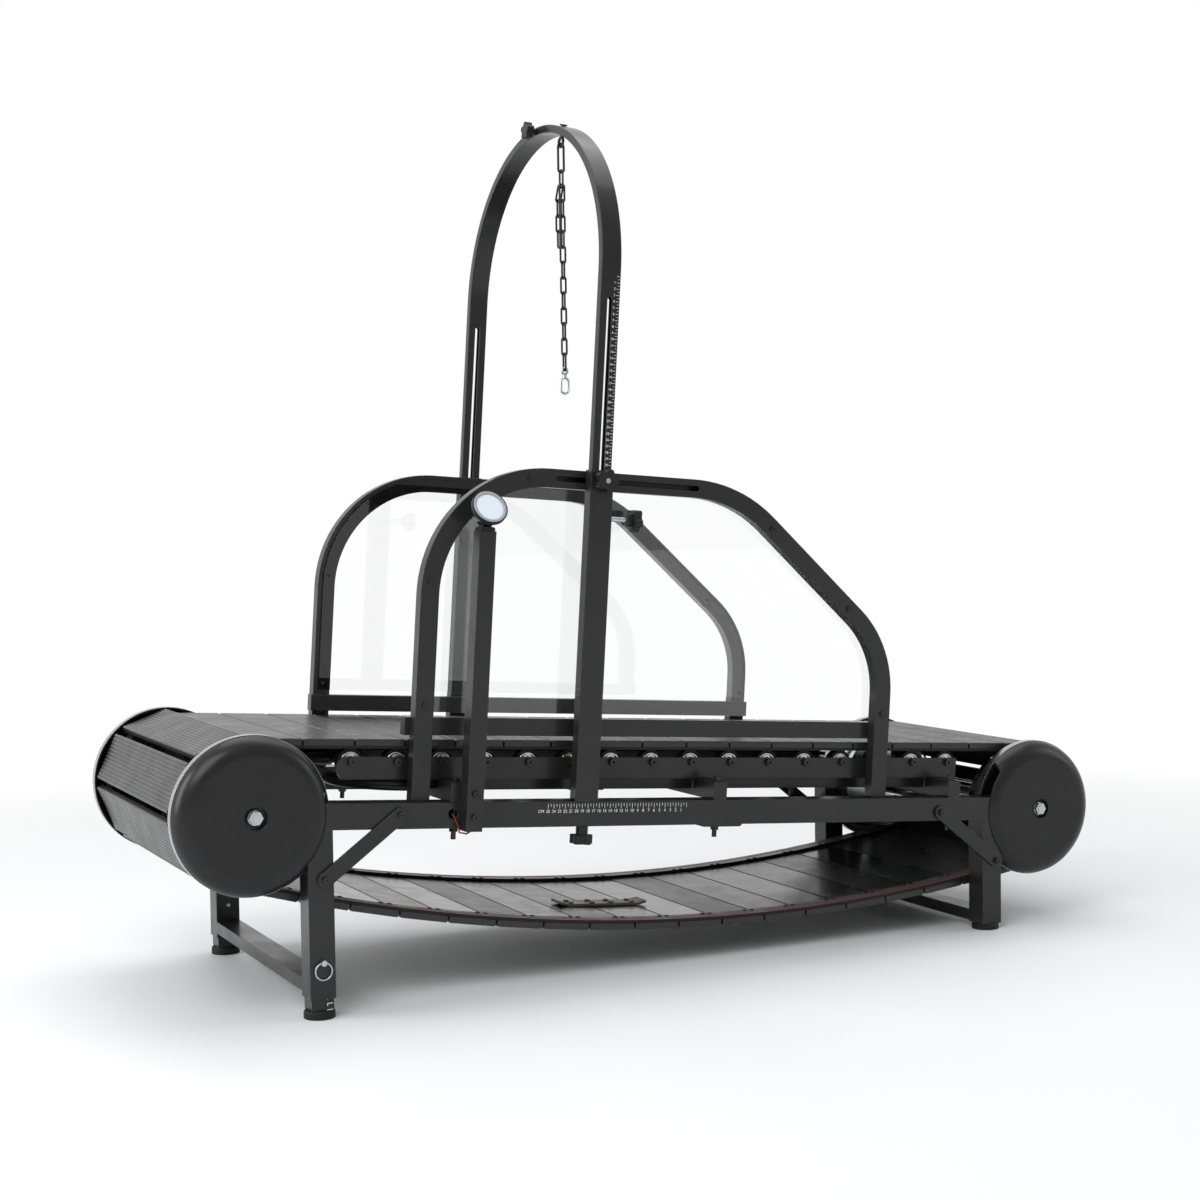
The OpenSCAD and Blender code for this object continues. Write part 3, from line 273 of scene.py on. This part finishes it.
PAINT = surface("black_paint", (0.0155, 0.0155, 0.0165), 0.33, edge=0.0032, grain=0.05,
                wear=(0.06, 0.06, 0.062), Specular_IOR_Level=0.27, Coat_Weight=0.24, Coat_Roughness=0.14)
PLASTIC = surface("black_plastic", (0.013, 0.013, 0.0135), 0.36, grain_scale=1500.0, grain=0.25,
                  edge=0.0015, Specular_IOR_Level=0.30)
COVER = surface("cover_paint", (0.013, 0.013, 0.014), 0.30, mottle=0.12, edge=0.0022,
                Specular_IOR_Level=0.30)
# Pale metal of the cover bands, a painted highlight along the covers' rims
RIM = surface("cover_rim", (0.40, 0.40, 0.41), 0.28, 1.0, mottle=0.12, mottle_scale=30.0, grain=0.06,
              edge=0.0004)
GRIP = surface("grip_sleeve", (0.022, 0.022, 0.024), 0.34, grain_scale=1500.0, grain=0.1, edge=0.0008)
STEEL = surface("black_steel", (0.030, 0.029, 0.028), 0.26, 0.6, edge=0.0006, wear=(0.20, 0.19, 0.185))
ZINC = surface("zinc", (0.52, 0.53, 0.54), 0.30, 1.0, mottle=0.1, mottle_scale=40.0, grain=0.08,
               edge=0.0004)
CHROME = surface("chrome", (0.70, 0.71, 0.72), 0.14, 1.0, mottle=0.05, rough_span=0.04, grain=0.03,
                 edge=0.0006)
SLAT = surface("slat_plastic", (0.017, 0.017, 0.018), 0.30, mottle=0.12, mottle_scale=5.0,
               rough_span=0.05, grain_scale=700.0, grain=0.06, edge=0.0008, Specular_IOR_Level=0.45)
SLAT_BACK = smooth_slats("slat_back")
RUBBER = surface("rubber", (0.010, 0.010, 0.010), 0.60, grain_scale=1200.0, grain=0.35, edge=0.0008,
                 Specular_IOR_Level=0.25)
CLEAR = clear_panel("clear_panel")
FACE = lit_face("display_face")
LEAD = surface("red_lead", (0.24, 0.022, 0.02), 0.42, edge=0.0003)
RED_LINE = surface("red_line", (0.36, 0.035, 0.022), 0.5, mottle_scale=80.0, edge=0.0002)
FABRIC = surface("strap_fabric", (0.130, 0.092, 0.087), 0.42, mottle=0.35, mottle_scale=60.0,
                 grain_scale=1400.0, grain=0.5, edge=0.0001)
PRINT = surface("white_print", (0.90, 0.90, 0.90), 0.6, mottle=0.08, mottle_scale=200.0, edge=0.00005)
SPLICE = surface("splice_plate", (0.20, 0.185, 0.17), 0.42, 0.5, mottle=0.3, mottle_scale=90.0,
                 edge=0.0006)
RACE = surface("bearing_race", (0.80, 0.78, 0.68), 0.24, 1.0, mottle=0.08, mottle_scale=40.0,
               grain=0.06, edge=0.0004)
BEZEL = surface("grey_bezel", (0.34, 0.36, 0.38), 0.30, mottle=0.1, edge=0.0004)

BY_SLOT = {"black_paint": PAINT, "black_plastic": PLASTIC, "black_steel": STEEL, "zinc": ZINC,
           "chrome": CHROME, "slat": SLAT, "rubber": RUBBER, "clear_panel": CLEAR, "lens": FACE,
           "red_lead": LEAD}
# Nodes that look unlike the rest of their slot
BY_NODE = {"drum_covers": COVER, "front_drum": STEEL, "belt_splice": SPLICE}
for subpart in frame["record"]["subparts"]:
    node_name = subpart["node"]
    cad_mesh = NODES[node_name].data
    cad_mesh.materials.clear()
    cad_mesh.materials.append(BY_NODE.get(node_name, BY_SLOT[subpart["material_slot"]]))
# Cycles gives clear solids a dark shadow, so the panels cast none
NODES["side_panels"].visible_shadow = False


# Shape helpers
def piece(name, bm, material, body):
    mesh = bpy.data.meshes.new(name)
    bmesh.ops.recalc_face_normals(bm, faces=bm.faces[:])
    bm.to_mesh(mesh)
    bm.free()
    mesh.materials.append(material)
    obj = bpy.data.objects.new(name, mesh)
    bpy.context.scene.collection.objects.link(obj)
    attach(obj, body)
    return obj


def add_prism(bm, outline, y0, y1, place):
    """A closed outline of (x, z) points, carried from y0 to y1; gives back its side faces."""
    rings = [[bm.verts.new(place @ Vector((x, y, z))) for x, z in outline] for y in (y0, y1)]
    count = len(outline)
    sides = []
    for i in range(count):
        j = (i + 1) % count
        sides.append(bm.faces.new((rings[0][i], rings[0][j], rings[1][j], rings[1][i])))
    bm.faces.new(rings[0])
    bm.faces.new(list(reversed(rings[1])))
    return sides


def add_turned(bm, profile, place, steps, smooth=False):
    """A closed profile of (radius, z) points, turned about local Z."""
    rings = []
    for k in range(steps):
        angle = 2 * math.pi * k / steps
        c, s = math.cos(angle), math.sin(angle)
        rings.append([bm.verts.new(place @ Vector((r * c, r * s, z))) for r, z in profile])
    for k in range(steps):
        n = (k + 1) % steps
        for i in range(len(profile)):
            j = (i + 1) % len(profile)
            bm.faces.new((rings[k][i], rings[k][j], rings[n][j], rings[n][i])).smooth = smooth


def add_tube(bm, rings):
    """A closed solid through rings of vertices that have the same count; gives back its side faces."""
    count = len(rings[0])
    sides = []
    for first, second in zip(rings, rings[1:]):
        for i in range(count):
            j = (i + 1) % count
            sides.append(bm.faces.new((first[i], first[j], second[j], second[i])))
    bm.faces.new(rings[0])
    bm.faces.new(rings[-1])
    return sides


def outward(side):
    """Turns local Z to point out of the near or far side."""
    return Matrix.Rotation(math.radians(-90 * side), 4, "X")


def axle_ends(*axles):
    """Both ends of the axles at these places, with local Z along the axle and outward."""
    return [MACHINE @ Matrix.Translation((x, 0, 0)) @ outward(side) for x in axles for side in SIDES]


def loop_at(s):
    """Seat point of the belt, s along the loop from the deck's front, and its outward angle."""
    if s < DECK_RUN:
        return s - AXLE_X, BELT_SEAT, 0.0
    if s < HANG_START:
        angle = (s - DECK_RUN) / BELT_SEAT
        return AXLE_X + BELT_SEAT * math.sin(angle), BELT_SEAT * math.cos(angle), angle
    if s < HANG_END:
        angle = DROOP - (s - HANG_START) / HANG_R
        return HANG_R * math.sin(angle), HANG_CENTRE - HANG_R * math.cos(angle), math.pi - angle
    angle = math.pi + DROOP + (s - HANG_END) / BELT_SEAT
    return -AXLE_X + BELT_SEAT * math.sin(angle), BELT_SEAT * math.cos(angle), angle


def on_loop(s):
    """Local X along the belt and Z outward, at the slats' seat."""
    x, z, angle = loop_at(s)
    return MACHINE @ Matrix.Translation((x, 0, z)) @ Matrix.Rotation(angle, 4, "Y")


def hangs(s):
    return HANG_START <= s < HANG_END


# Belt
def slat_outline():
    """Cross-section of a slat: flat below, round shoulders, fine grooves along its length on top."""
    shoulder, grooves, depth = 0.003, 12, 0.0009
    groove = ((0.30, 0), (0.42, depth), (0.58, depth), (0.70, 0))
    half = (SLAT_PITCH - SLAT_GAP) / 2
    flat = half - shoulder
    pitch = 2 * flat / grooves

    def arc(x, start):
        return [(x + shoulder * math.cos(a), SLAT_T - shoulder + shoulder * math.sin(a))
                for a in map(math.radians, range(start, start + 91, 15))]

    points = [(-half, 0), (half, 0)] + arc(flat, 0)
    for i in range(grooves):
        points += [(flat - (i + share) * pitch, SLAT_T - deep) for share, deep in groove]
    return points + arc(-flat, 90)


def make_slats():
    """Ribbed slats in place of the plain ones; the first side face of each is its inner one."""
    groups = {name: bmesh.new() for name in ("slats_deck", "slats_return", "slats_on_drums")}
    outline = slat_outline()
    for s in SLAT_MIDDLES:
        name = "slats_deck" if s < DECK_RUN else "slats_return" if hangs(s) else "slats_on_drums"
        inner_face = add_prism(groups[name], outline, -SLAT_HALF, SLAT_HALF, on_loop(s))[0]
        inner_face.material_index = 1
    for name, bm in groups.items():
        slats = piece("ribbed_" + name, bm, SLAT, "frame")
        # The inner faces of the deck and wheel slats take the dull black rubber, not the slat back: painted
        # shade that keeps the gaps between slats dark
        slats.data.materials.append(SLAT_BACK if name == "slats_return" else RUBBER)
        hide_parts(name)


def add_band(bm, inner, outer, low, high):
    """A closed band along the hanging run, between two places across it and two heights."""
    # The inset keeps both ends off the wheels' arcs
    steps, inset = 120, 0.001
    corners = ((inner, low), (outer, low), (outer, high), (inner, high))
    rings = []
    for k in range(steps + 1):
        place = on_loop(HANG_START + HANG_RUN * (k + inset) / (steps + 2 * inset))
        rings.append([bm.verts.new(place @ Vector((0, y, z))) for y, z in corners])
    add_tube(bm, rings)


def make_strap_fabric():
    """The woven inner face of the straps on the hanging run, and the red line along each."""
    weave, line = bmesh.new(), bmesh.new()
    thick, lift, line_lift = 0.0005, 0.0001, 0.0005
    margin, half_line, line_share = 0.0012, 0.0006, 0.35
    middle = SLAT_HALF - line_share * STRAP_W
    weave_top, line_top = STRAP_FACE - lift, STRAP_FACE - line_lift
    for side in SIDES:
        add_band(weave, side * (SLAT_HALF - STRAP_W + margin), side * (SLAT_HALF - margin),
                 weave_top - thick, weave_top)
        add_band(line, side * (middle - half_line), side * (middle + half_line), line_top - thick, line_top)
    piece("strap_fabric", weave, FABRIC, "frame")
    piece("strap_line", line, RED_LINE, "frame")


def make_rivets():
    """Dark rivet heads along the straps' inner edges on the hanging run, two to a slat."""
    bm = bmesh.new()
    rivet_y, behind_middle = 0.1995, (0.019, 0.033)
    radius, shoulder, flat, bore = 0.0045, 0.0042, 0.0024, 0.0006
    wall, tall = 0.0014, 0.0020
    crown = STRAP_FACE - tall
    head = [(radius, STRAP_FACE), (shoulder, STRAP_FACE - wall), (flat, crown), (bore, crown),
            (bore, STRAP_FACE)]
    for middle in filter(hangs, SLAT_MIDDLES):
        for side in SIDES:
            for back in behind_middle:
                place = on_loop(middle - back) @ Matrix.Translation((0, side * rivet_y, 0))
                add_turned(bm, head, place, steps=16, smooth=True)
    piece("slat_rivets", bm, STEEL, "frame")


# Frame
def make_rail_lips():
    """Downward lips on the inner edges of the roller rails, broken at the cross tubes."""
    bm = bmesh.new()
    front, rear, gap = -0.570, 0.578, 0.0145
    low, high, thick = 0.031, 0.0505, 0.002
    lip_y, front_lip_y = 0.199, 0.2022
    starts = [front] + [x + gap for x in CROSS_X]
    ends = [x - gap for x in CROSS_X] + [rear]
    for x0, x1 in zip(starts, ends):
        # In front the handle takes the near lip's place, and the far lip stands further out to clear it
        sides, y = ((FAR,), front_lip_y) if x0 == front else (SIDES, lip_y)
        for side in sides:
            outline = [(x0, low), (x1, low), (x1, high), (x0, high)]
            add_prism(bm, outline, side * y, side * (y + thick), MACHINE)
    piece("roller_rail_lips", bm, PAINT, "frame")


def make_handle_grip():
    """Thick sleeve on the bent lifting handle in front of the first cross tube."""
    bm = bmesh.new()
    radius, corners = 0.0115, 24
    straight = HANDLE_Y - HANDLE_BEND
    bend_x = CROSS_X[0] - HANDLE_REACH + HANDLE_BEND
    turns = [math.radians(d) for d in range(0, 91, 6)]
    path = [(bend_x - HANDLE_BEND * math.sin(a), -straight - HANDLE_BEND * math.cos(a), math.pi - a)
            for a in turns]
    path += [(x, -y, math.pi - heading) for x, y, heading in reversed(path)]
    up = Vector((0, 0, 1))
    rings = []
    for x, y, heading in path:
        centre = Vector((x, y, HANDLE_Z))
        across = Vector((math.sin(heading), -math.cos(heading), 0))
        spokes = [math.cos(a) * across + math.sin(a) * up
                  for a in (2 * math.pi * k / corners for k in range(corners))]
        rings.append([bm.verts.new(MACHINE @ (centre + radius * spoke)) for spoke in spokes])
    for face in add_tube(bm, rings):
        face.smooth = True
    piece("handle_grip", bm, GRIP, "frame")


# Wheels and rollers
def make_cover_rims():
    """Pale metal band round the straight wall of each drum cover: a painted highlight for the bright band
    that light lays along the rim.
    """
    bm = bmesh.new()
    sink, stand, inset, width = 0.0002, 0.0003, 0.0002, 0.0145
    inner, outer = COVER_R - sink, COVER_R + stand
    low, high = COVER_RIM + inset, COVER_RIM + width
    band = [(inner, low), (outer, low), (outer, high), (inner, high)]
    for place in axle_ends(-AXLE_X, AXLE_X):
        add_turned(bm, band, place, steps=96)
    piece("cover_rims", bm, RIM, "frame")


def make_wheel_ends():
    """Black discs that close the outer ends of the belt wheels, with a thin lip round their edge."""
    bore, lip_in, lip_out = 0.060, 0.0979, 0.0981
    lip_end, face_in, face_out = 0.2284, 0.2311, 0.2315
    disc = [(bore, face_in), (lip_in, face_in), (lip_in, lip_end), (lip_out, lip_end), (lip_out, face_out),
            (bore, face_out)]
    for x, wheel in ((-AXLE_X, "front_drum"), (AXLE_X, "rear_drum")):
        bm = bmesh.new()
        for place in axle_ends(x):
            add_turned(bm, disc, place, steps=72)
        piece("wheel_ends_" + wheel, bm, PLASTIC, wheel)


def make_axle_seals():
    """Black seals round the axle nuts, on their washers."""
    bm = bmesh.new()
    inner, outer, lift, tall = 0.0112, 0.0140, 0.00001, 0.0004
    low, high = WASHER_FACE + lift, WASHER_FACE + tall
    seal = [(inner, low), (outer, low), (outer, high), (inner, high)]
    for place in axle_ends(-AXLE_X, AXLE_X):
        add_turned(bm, seal, place, steps=48)
    piece("axle_seals", bm, RUBBER, "frame")


def make_bearings():
    """Bearing faces in the recesses of every deck roller: two races and a shield between them."""
    bore, rim = 0.0072, 0.0158
    race, shield, back = 0.0007, 0.0003, -0.0001
    face = [(bore, 0), (0.0090, race), (0.0095, shield), (0.0128, shield), (0.0132, race), (rim, race),
            (rim, 0), (rim, back), (bore, back)]
    for i in range(ROLLER_COUNT):
        bm = bmesh.new()
        centre = MACHINE @ Matrix.Translation((ROLLER_FIRST + i * ROLLER_PITCH, 0, ROLLER_Z))
        for side in SIDES:
            for y, out in ((ROLLER_OUT - ROLLER_RECESS, side), (ROLLER_IN + ROLLER_RECESS, -side)):
                place = centre @ Matrix.Translation((0, side * y, 0)) @ outward(out)
                add_turned(bm, face, place, steps=32, smooth=True)
        piece("bearing_faces_%02d" % (i + 1), bm, RACE, "deck_roller_%02d" % (i + 1))


# Print
PRINT_LIFT = 0.00006
HALF_TICK = 0.0003
TICK_STEP_MM = 5


def add_text(bm, body, size, place):
    """Flat figures, centred on the place."""
    curve = bpy.data.curves.new("print", "FONT")
    curve.body = body
    curve.size = size
    curve.align_x = "CENTER"
    curve.align_y = "CENTER"
    curve.resolution_u = 3
    obj = bpy.data.objects.new("print", curve)
    mesh = bpy.data.meshes.new_from_object(obj)
    mesh.transform(place)
    bm.from_mesh(mesh)
    bpy.data.objects.remove(obj)
    bpy.data.curves.remove(curve)
    bpy.data.meshes.remove(mesh)


def add_bar(bm, x0, y0, x1, y1, place):
    corners = ((x0, y0, 0), (x1, y0, 0), (x1, y1, 0), (x0, y1, 0))
    bm.faces.new([bm.verts.new(place @ Vector(corner)) for corner in corners])


def ticks(last_cm, long, short):
    """Place along a ruler in metres and length of every tick up to the last centimetre."""
    return [(mm / 1000, long if mm % 10 == 0 else short) for mm in range(0, last_cm * 10 + 1, TICK_STEP_MM)]


def make_rail_ruler():
    """Centimetre ruler on the near rail: zero at the rear, figures rising towards the front."""
    bm = bmesh.new()
    last_cm, figure, figure_y, unit_x, margin = 25, 0.0068, 0.0045, -0.262, 0.0035
    top = RAIL_HALF - margin
    place = MACHINE @ Matrix.Translation((0, -RAIL_OUT - PRINT_LIFT, 0)) @ NEAR_FACE
    for along, length in ticks(last_cm, long=0.0075, short=0.0045):
        add_bar(bm, -along - HALF_TICK, top - length, -along + HALF_TICK, top, place)
    for cm in range(1, last_cm + 1):
        add_text(bm, str(cm), figure, place @ Matrix.Translation((-cm / 100, figure_y, 0)))
    add_text(bm, "CM", figure, place @ Matrix.Translation((unit_x, figure_y, 0)))
    piece("rail_ruler", bm, PRINT, "frame")


def make_hoop_ruler():
    """Centimetre ruler on the hoop's near leg, read at the top of the post; figures rise downwards."""
    bm = bmesh.new()
    last_cm, figure, top, margin, figure_inset = 30, 0.0056, 0.856, 0.0015, 0.0082
    edge = HOOP_W / 2 - margin
    figure_x = edge - figure_inset
    place = MACHINE @ Matrix.Translation((POST_X, -HOOP_FACE - PRINT_LIFT, 0)) @ NEAR_FACE
    for down, length in ticks(last_cm, long=0.0048, short=0.0028):
        add_bar(bm, edge - length, top - down - HALF_TICK, edge, top - down + HALF_TICK, place)
    for cm in range(1, last_cm + 1):
        add_text(bm, str(cm), figure, place @ Matrix.Translation((figure_x, top - cm / 100, 0)))
    piece("hoop_ruler", bm, PRINT, "hoop")


def make_leg_marks():
    """Height marks on the two inner front legs: a bar with a short stem below one end."""
    count, first, pitch = 8, 0.0135, 0.0095
    left, right, stem_right = 0.0065, 0.0155, 0.0075
    half_bar, stem_low = 0.0005, 0.0040
    for side, name in ((NEAR, "near"), (FAR, "far")):
        bm = bmesh.new()
        turn = Matrix.Rotation(0 if side == NEAR else math.pi, 4, "Z")
        leg_face = SHIFT + side * (INNER_LEG_FACE + PRINT_LIFT)
        place = Matrix.Translation((FRONT_LEG_X, leg_face, 0)) @ turn @ NEAR_FACE
        for i in range(count):
            z = first + pitch * i
            add_bar(bm, left, z - half_bar, right, z + half_bar, place)
            add_bar(bm, left, z - stem_low, stem_right, z - half_bar, place)
        piece("leg_marks_" + name, bm, PRINT, "front_leg_" + name)


# Display
def make_bezel():
    """Grey ring round the display's lit face."""
    bm = bmesh.new()
    seat = 0.0255
    up = Vector((0, math.sin(DISPLAY_TILT), math.cos(DISPLAY_TILT)))
    out = Vector((0, -math.cos(DISPLAY_TILT), math.sin(DISPLAY_TILT)))
    spot = Vector((DISPLAY_X, DISPLAY_Y, DISPLAY_HINGE)) + DISPLAY_RISE * up + seat * out
    turn = Matrix((Vector((1, 0, 0)), up, out)).transposed().to_4x4()
    ring = [(0.0222, -0.0004), (0.0226, 0.0009), (0.0240, 0.0014), (0.0262, 0.0014), (0.0270, 0.0008),
            (0.0270, 0.0004), (0.0246, 0.0003), (0.0246, -0.0004)]
    add_turned(bm, ring, MACHINE @ Matrix.Translation(spot) @ turn, steps=64, smooth=True)
    piece("display_bezel", bm, BEZEL, "display")


def make_display_neck():
    """Short collar that closes the post's top under the display's hinge."""
    bm = bmesh.new()
    half, bevel, lift, tall = 0.0118, 0.002, 0.0002, 0.0064
    low, high = DISPLAY_POST_TOP + lift, DISPLAY_POST_TOP + tall
    outline = [(-half, low), (half, low), (half, high - bevel), (half - bevel, high), (-half + bevel, high),
               (-half, high - bevel)]
    place = MACHINE @ Matrix.Translation((DISPLAY_X, 0, 0))
    add_prism(bm, outline, DISPLAY_Y - half, DISPLAY_Y + half, place)
    piece("display_neck", bm, PLASTIC, "frame")


make_slats()
make_display_neck()
make_strap_fabric()
make_rivets()
make_rail_lips()
make_handle_grip()
make_cover_rims()
make_wheel_ends()
make_axle_seals()
make_bearings()
make_rail_ruler()
make_hoop_ruler()
make_leg_marks()
make_bezel()


# Stage
FLOOR_HALF, FLOOR_DROP = 30.0, 0.0005
FADE_SPAN = (1.3, 2.6)
AMBIENT, FRONT_GLOSS = 0.42, 0.38
GLOSS_SPAN = (-0.8, 0.5)
VIEW_YAW, VIEW_PITCH, VIEW_ROLL = (math.radians(d) for d in (26.732, -2.579, -0.841))
VIEW_PLACE = (-1.5585, -3.06485 + SHIFT, 0.75422)
LENS, SENSOR = 58.993, 36.0


def make_floor():
    """Pale floor that fades into the white backdrop."""
    bm = bmesh.new()
    bmesh.ops.create_grid(bm, x_segments=2, y_segments=2, size=FLOOR_HALF)
    mesh = bpy.data.meshes.new("floor")
    bm.to_mesh(mesh)
    bm.free()
    s = Shader("floor")
    s.set(Base_Color=s.mix(s.noise(0.7), (0.88, 0.89, 0.90), (0.91, 0.92, 0.93)),
          Roughness=s.span(s.noise(3.0), 0.5, 0.65))
    reach = s.node("ShaderNodeVectorMath", operation="LENGTH")
    s.feed(reach.inputs[0], s.coord)
    seen = s.seen_by("Is Camera Ray", "Is Glossy Ray", "Is Transmission Ray")
    fade = s.math("MULTIPLY", s.span(reach.outputs["Value"], 0.0, 1.0, *FADE_SPAN), seen)
    white = s.node("ShaderNodeEmission")
    blend = s.node("ShaderNodeMixShader")
    for socket, value in zip(blend.inputs, (fade, s.bsdf.outputs[0], white.outputs[0])):
        s.feed(socket, value)
    s.feed(s.out, blend.outputs[0])
    mesh.materials.append(s.mat)
    floor = bpy.data.objects.new("floor", mesh)
    floor.location.z = -FLOOR_DROP
    bpy.context.scene.collection.objects.link(floor)


def make_world():
    """White backdrop, softer as light; what gloss mirrors from the viewer's side is darker."""
    world = bpy.data.worlds.new("studio")
    world.use_nodes = True
    n = Nodes(world.node_tree)
    axes = n.node("ShaderNodeSeparateXYZ")
    n.feed(axes.inputs[0], n.node("ShaderNodeTexCoord").outputs["Generated"])
    mirrored = n.span(axes.outputs["Y"], FRONT_GLOSS, 1.0, *GLOSS_SPAN)
    light = n.span(n.seen_by("Is Glossy Ray"), AMBIENT, mirrored, 0.0, 1.0)
    backdrop = n.span(n.seen_by("Is Camera Ray", "Is Transmission Ray"), light, 1.0, 0.0, 1.0)
    background = world.node_tree.nodes["Background"]
    n.feed(background.inputs["Color"], (1, 1, 1, 1))
    n.feed(background.inputs["Strength"], backdrop)
    bpy.context.scene.world = world


def area_light(name, place, target, size, watts):
    data = bpy.data.lights.new(name, "AREA")
    data.shape = "RECTANGLE"
    data.size, data.size_y = size
    data.energy = watts
    obj = bpy.data.objects.new(name, data)
    obj.location = place
    obj.rotation_euler = (Vector(target) - Vector(place)).to_track_quat("-Z", "Y").to_euler()
    bpy.context.scene.collection.objects.link(obj)


def make_camera():
    """The photograph's viewpoint, with yaw from +Y towards +X."""
    level = Vector((math.sin(VIEW_YAW), math.cos(VIEW_YAW), 0))
    forward = math.cos(VIEW_PITCH) * level + math.sin(VIEW_PITCH) * Vector((0, 0, 1))
    right = Vector((math.cos(VIEW_YAW), -math.sin(VIEW_YAW), 0))
    up = right.cross(forward)
    x = math.cos(VIEW_ROLL) * right + math.sin(VIEW_ROLL) * up
    y = -math.sin(VIEW_ROLL) * right + math.cos(VIEW_ROLL) * up
    data = bpy.data.cameras.new("camera")
    data.sensor_width = SENSOR
    data.lens = LENS
    data.clip_start = 0.05
    data.clip_end = 200
    camera = bpy.data.objects.new("camera", data)
    turn = Matrix((x, y, -forward)).transposed().to_4x4()
    camera.matrix_world = Matrix.Translation(VIEW_PLACE) @ turn
    bpy.context.scene.collection.objects.link(camera)
    bpy.context.scene.camera = camera


make_floor()
make_world()
area_light("key", (-2.6, -2.2, 3.2), (0, 0, 0.5), (2.4, 2.4), 78)
area_light("left", (-3.6, 0.3, 1.6), (0, 0, 0.4), (1.4, 2.2), 50)
area_light("top", (0.3, 0.6, 3.6), (0, 0, 0.4), (3.5, 2.5), 52)
area_light("side", (3.4, -1.6, 1.8), (0, 0, 0.6), (1.6, 2.2), 20)
make_camera()
bpy.context.scene.view_settings.view_transform = "Standard"
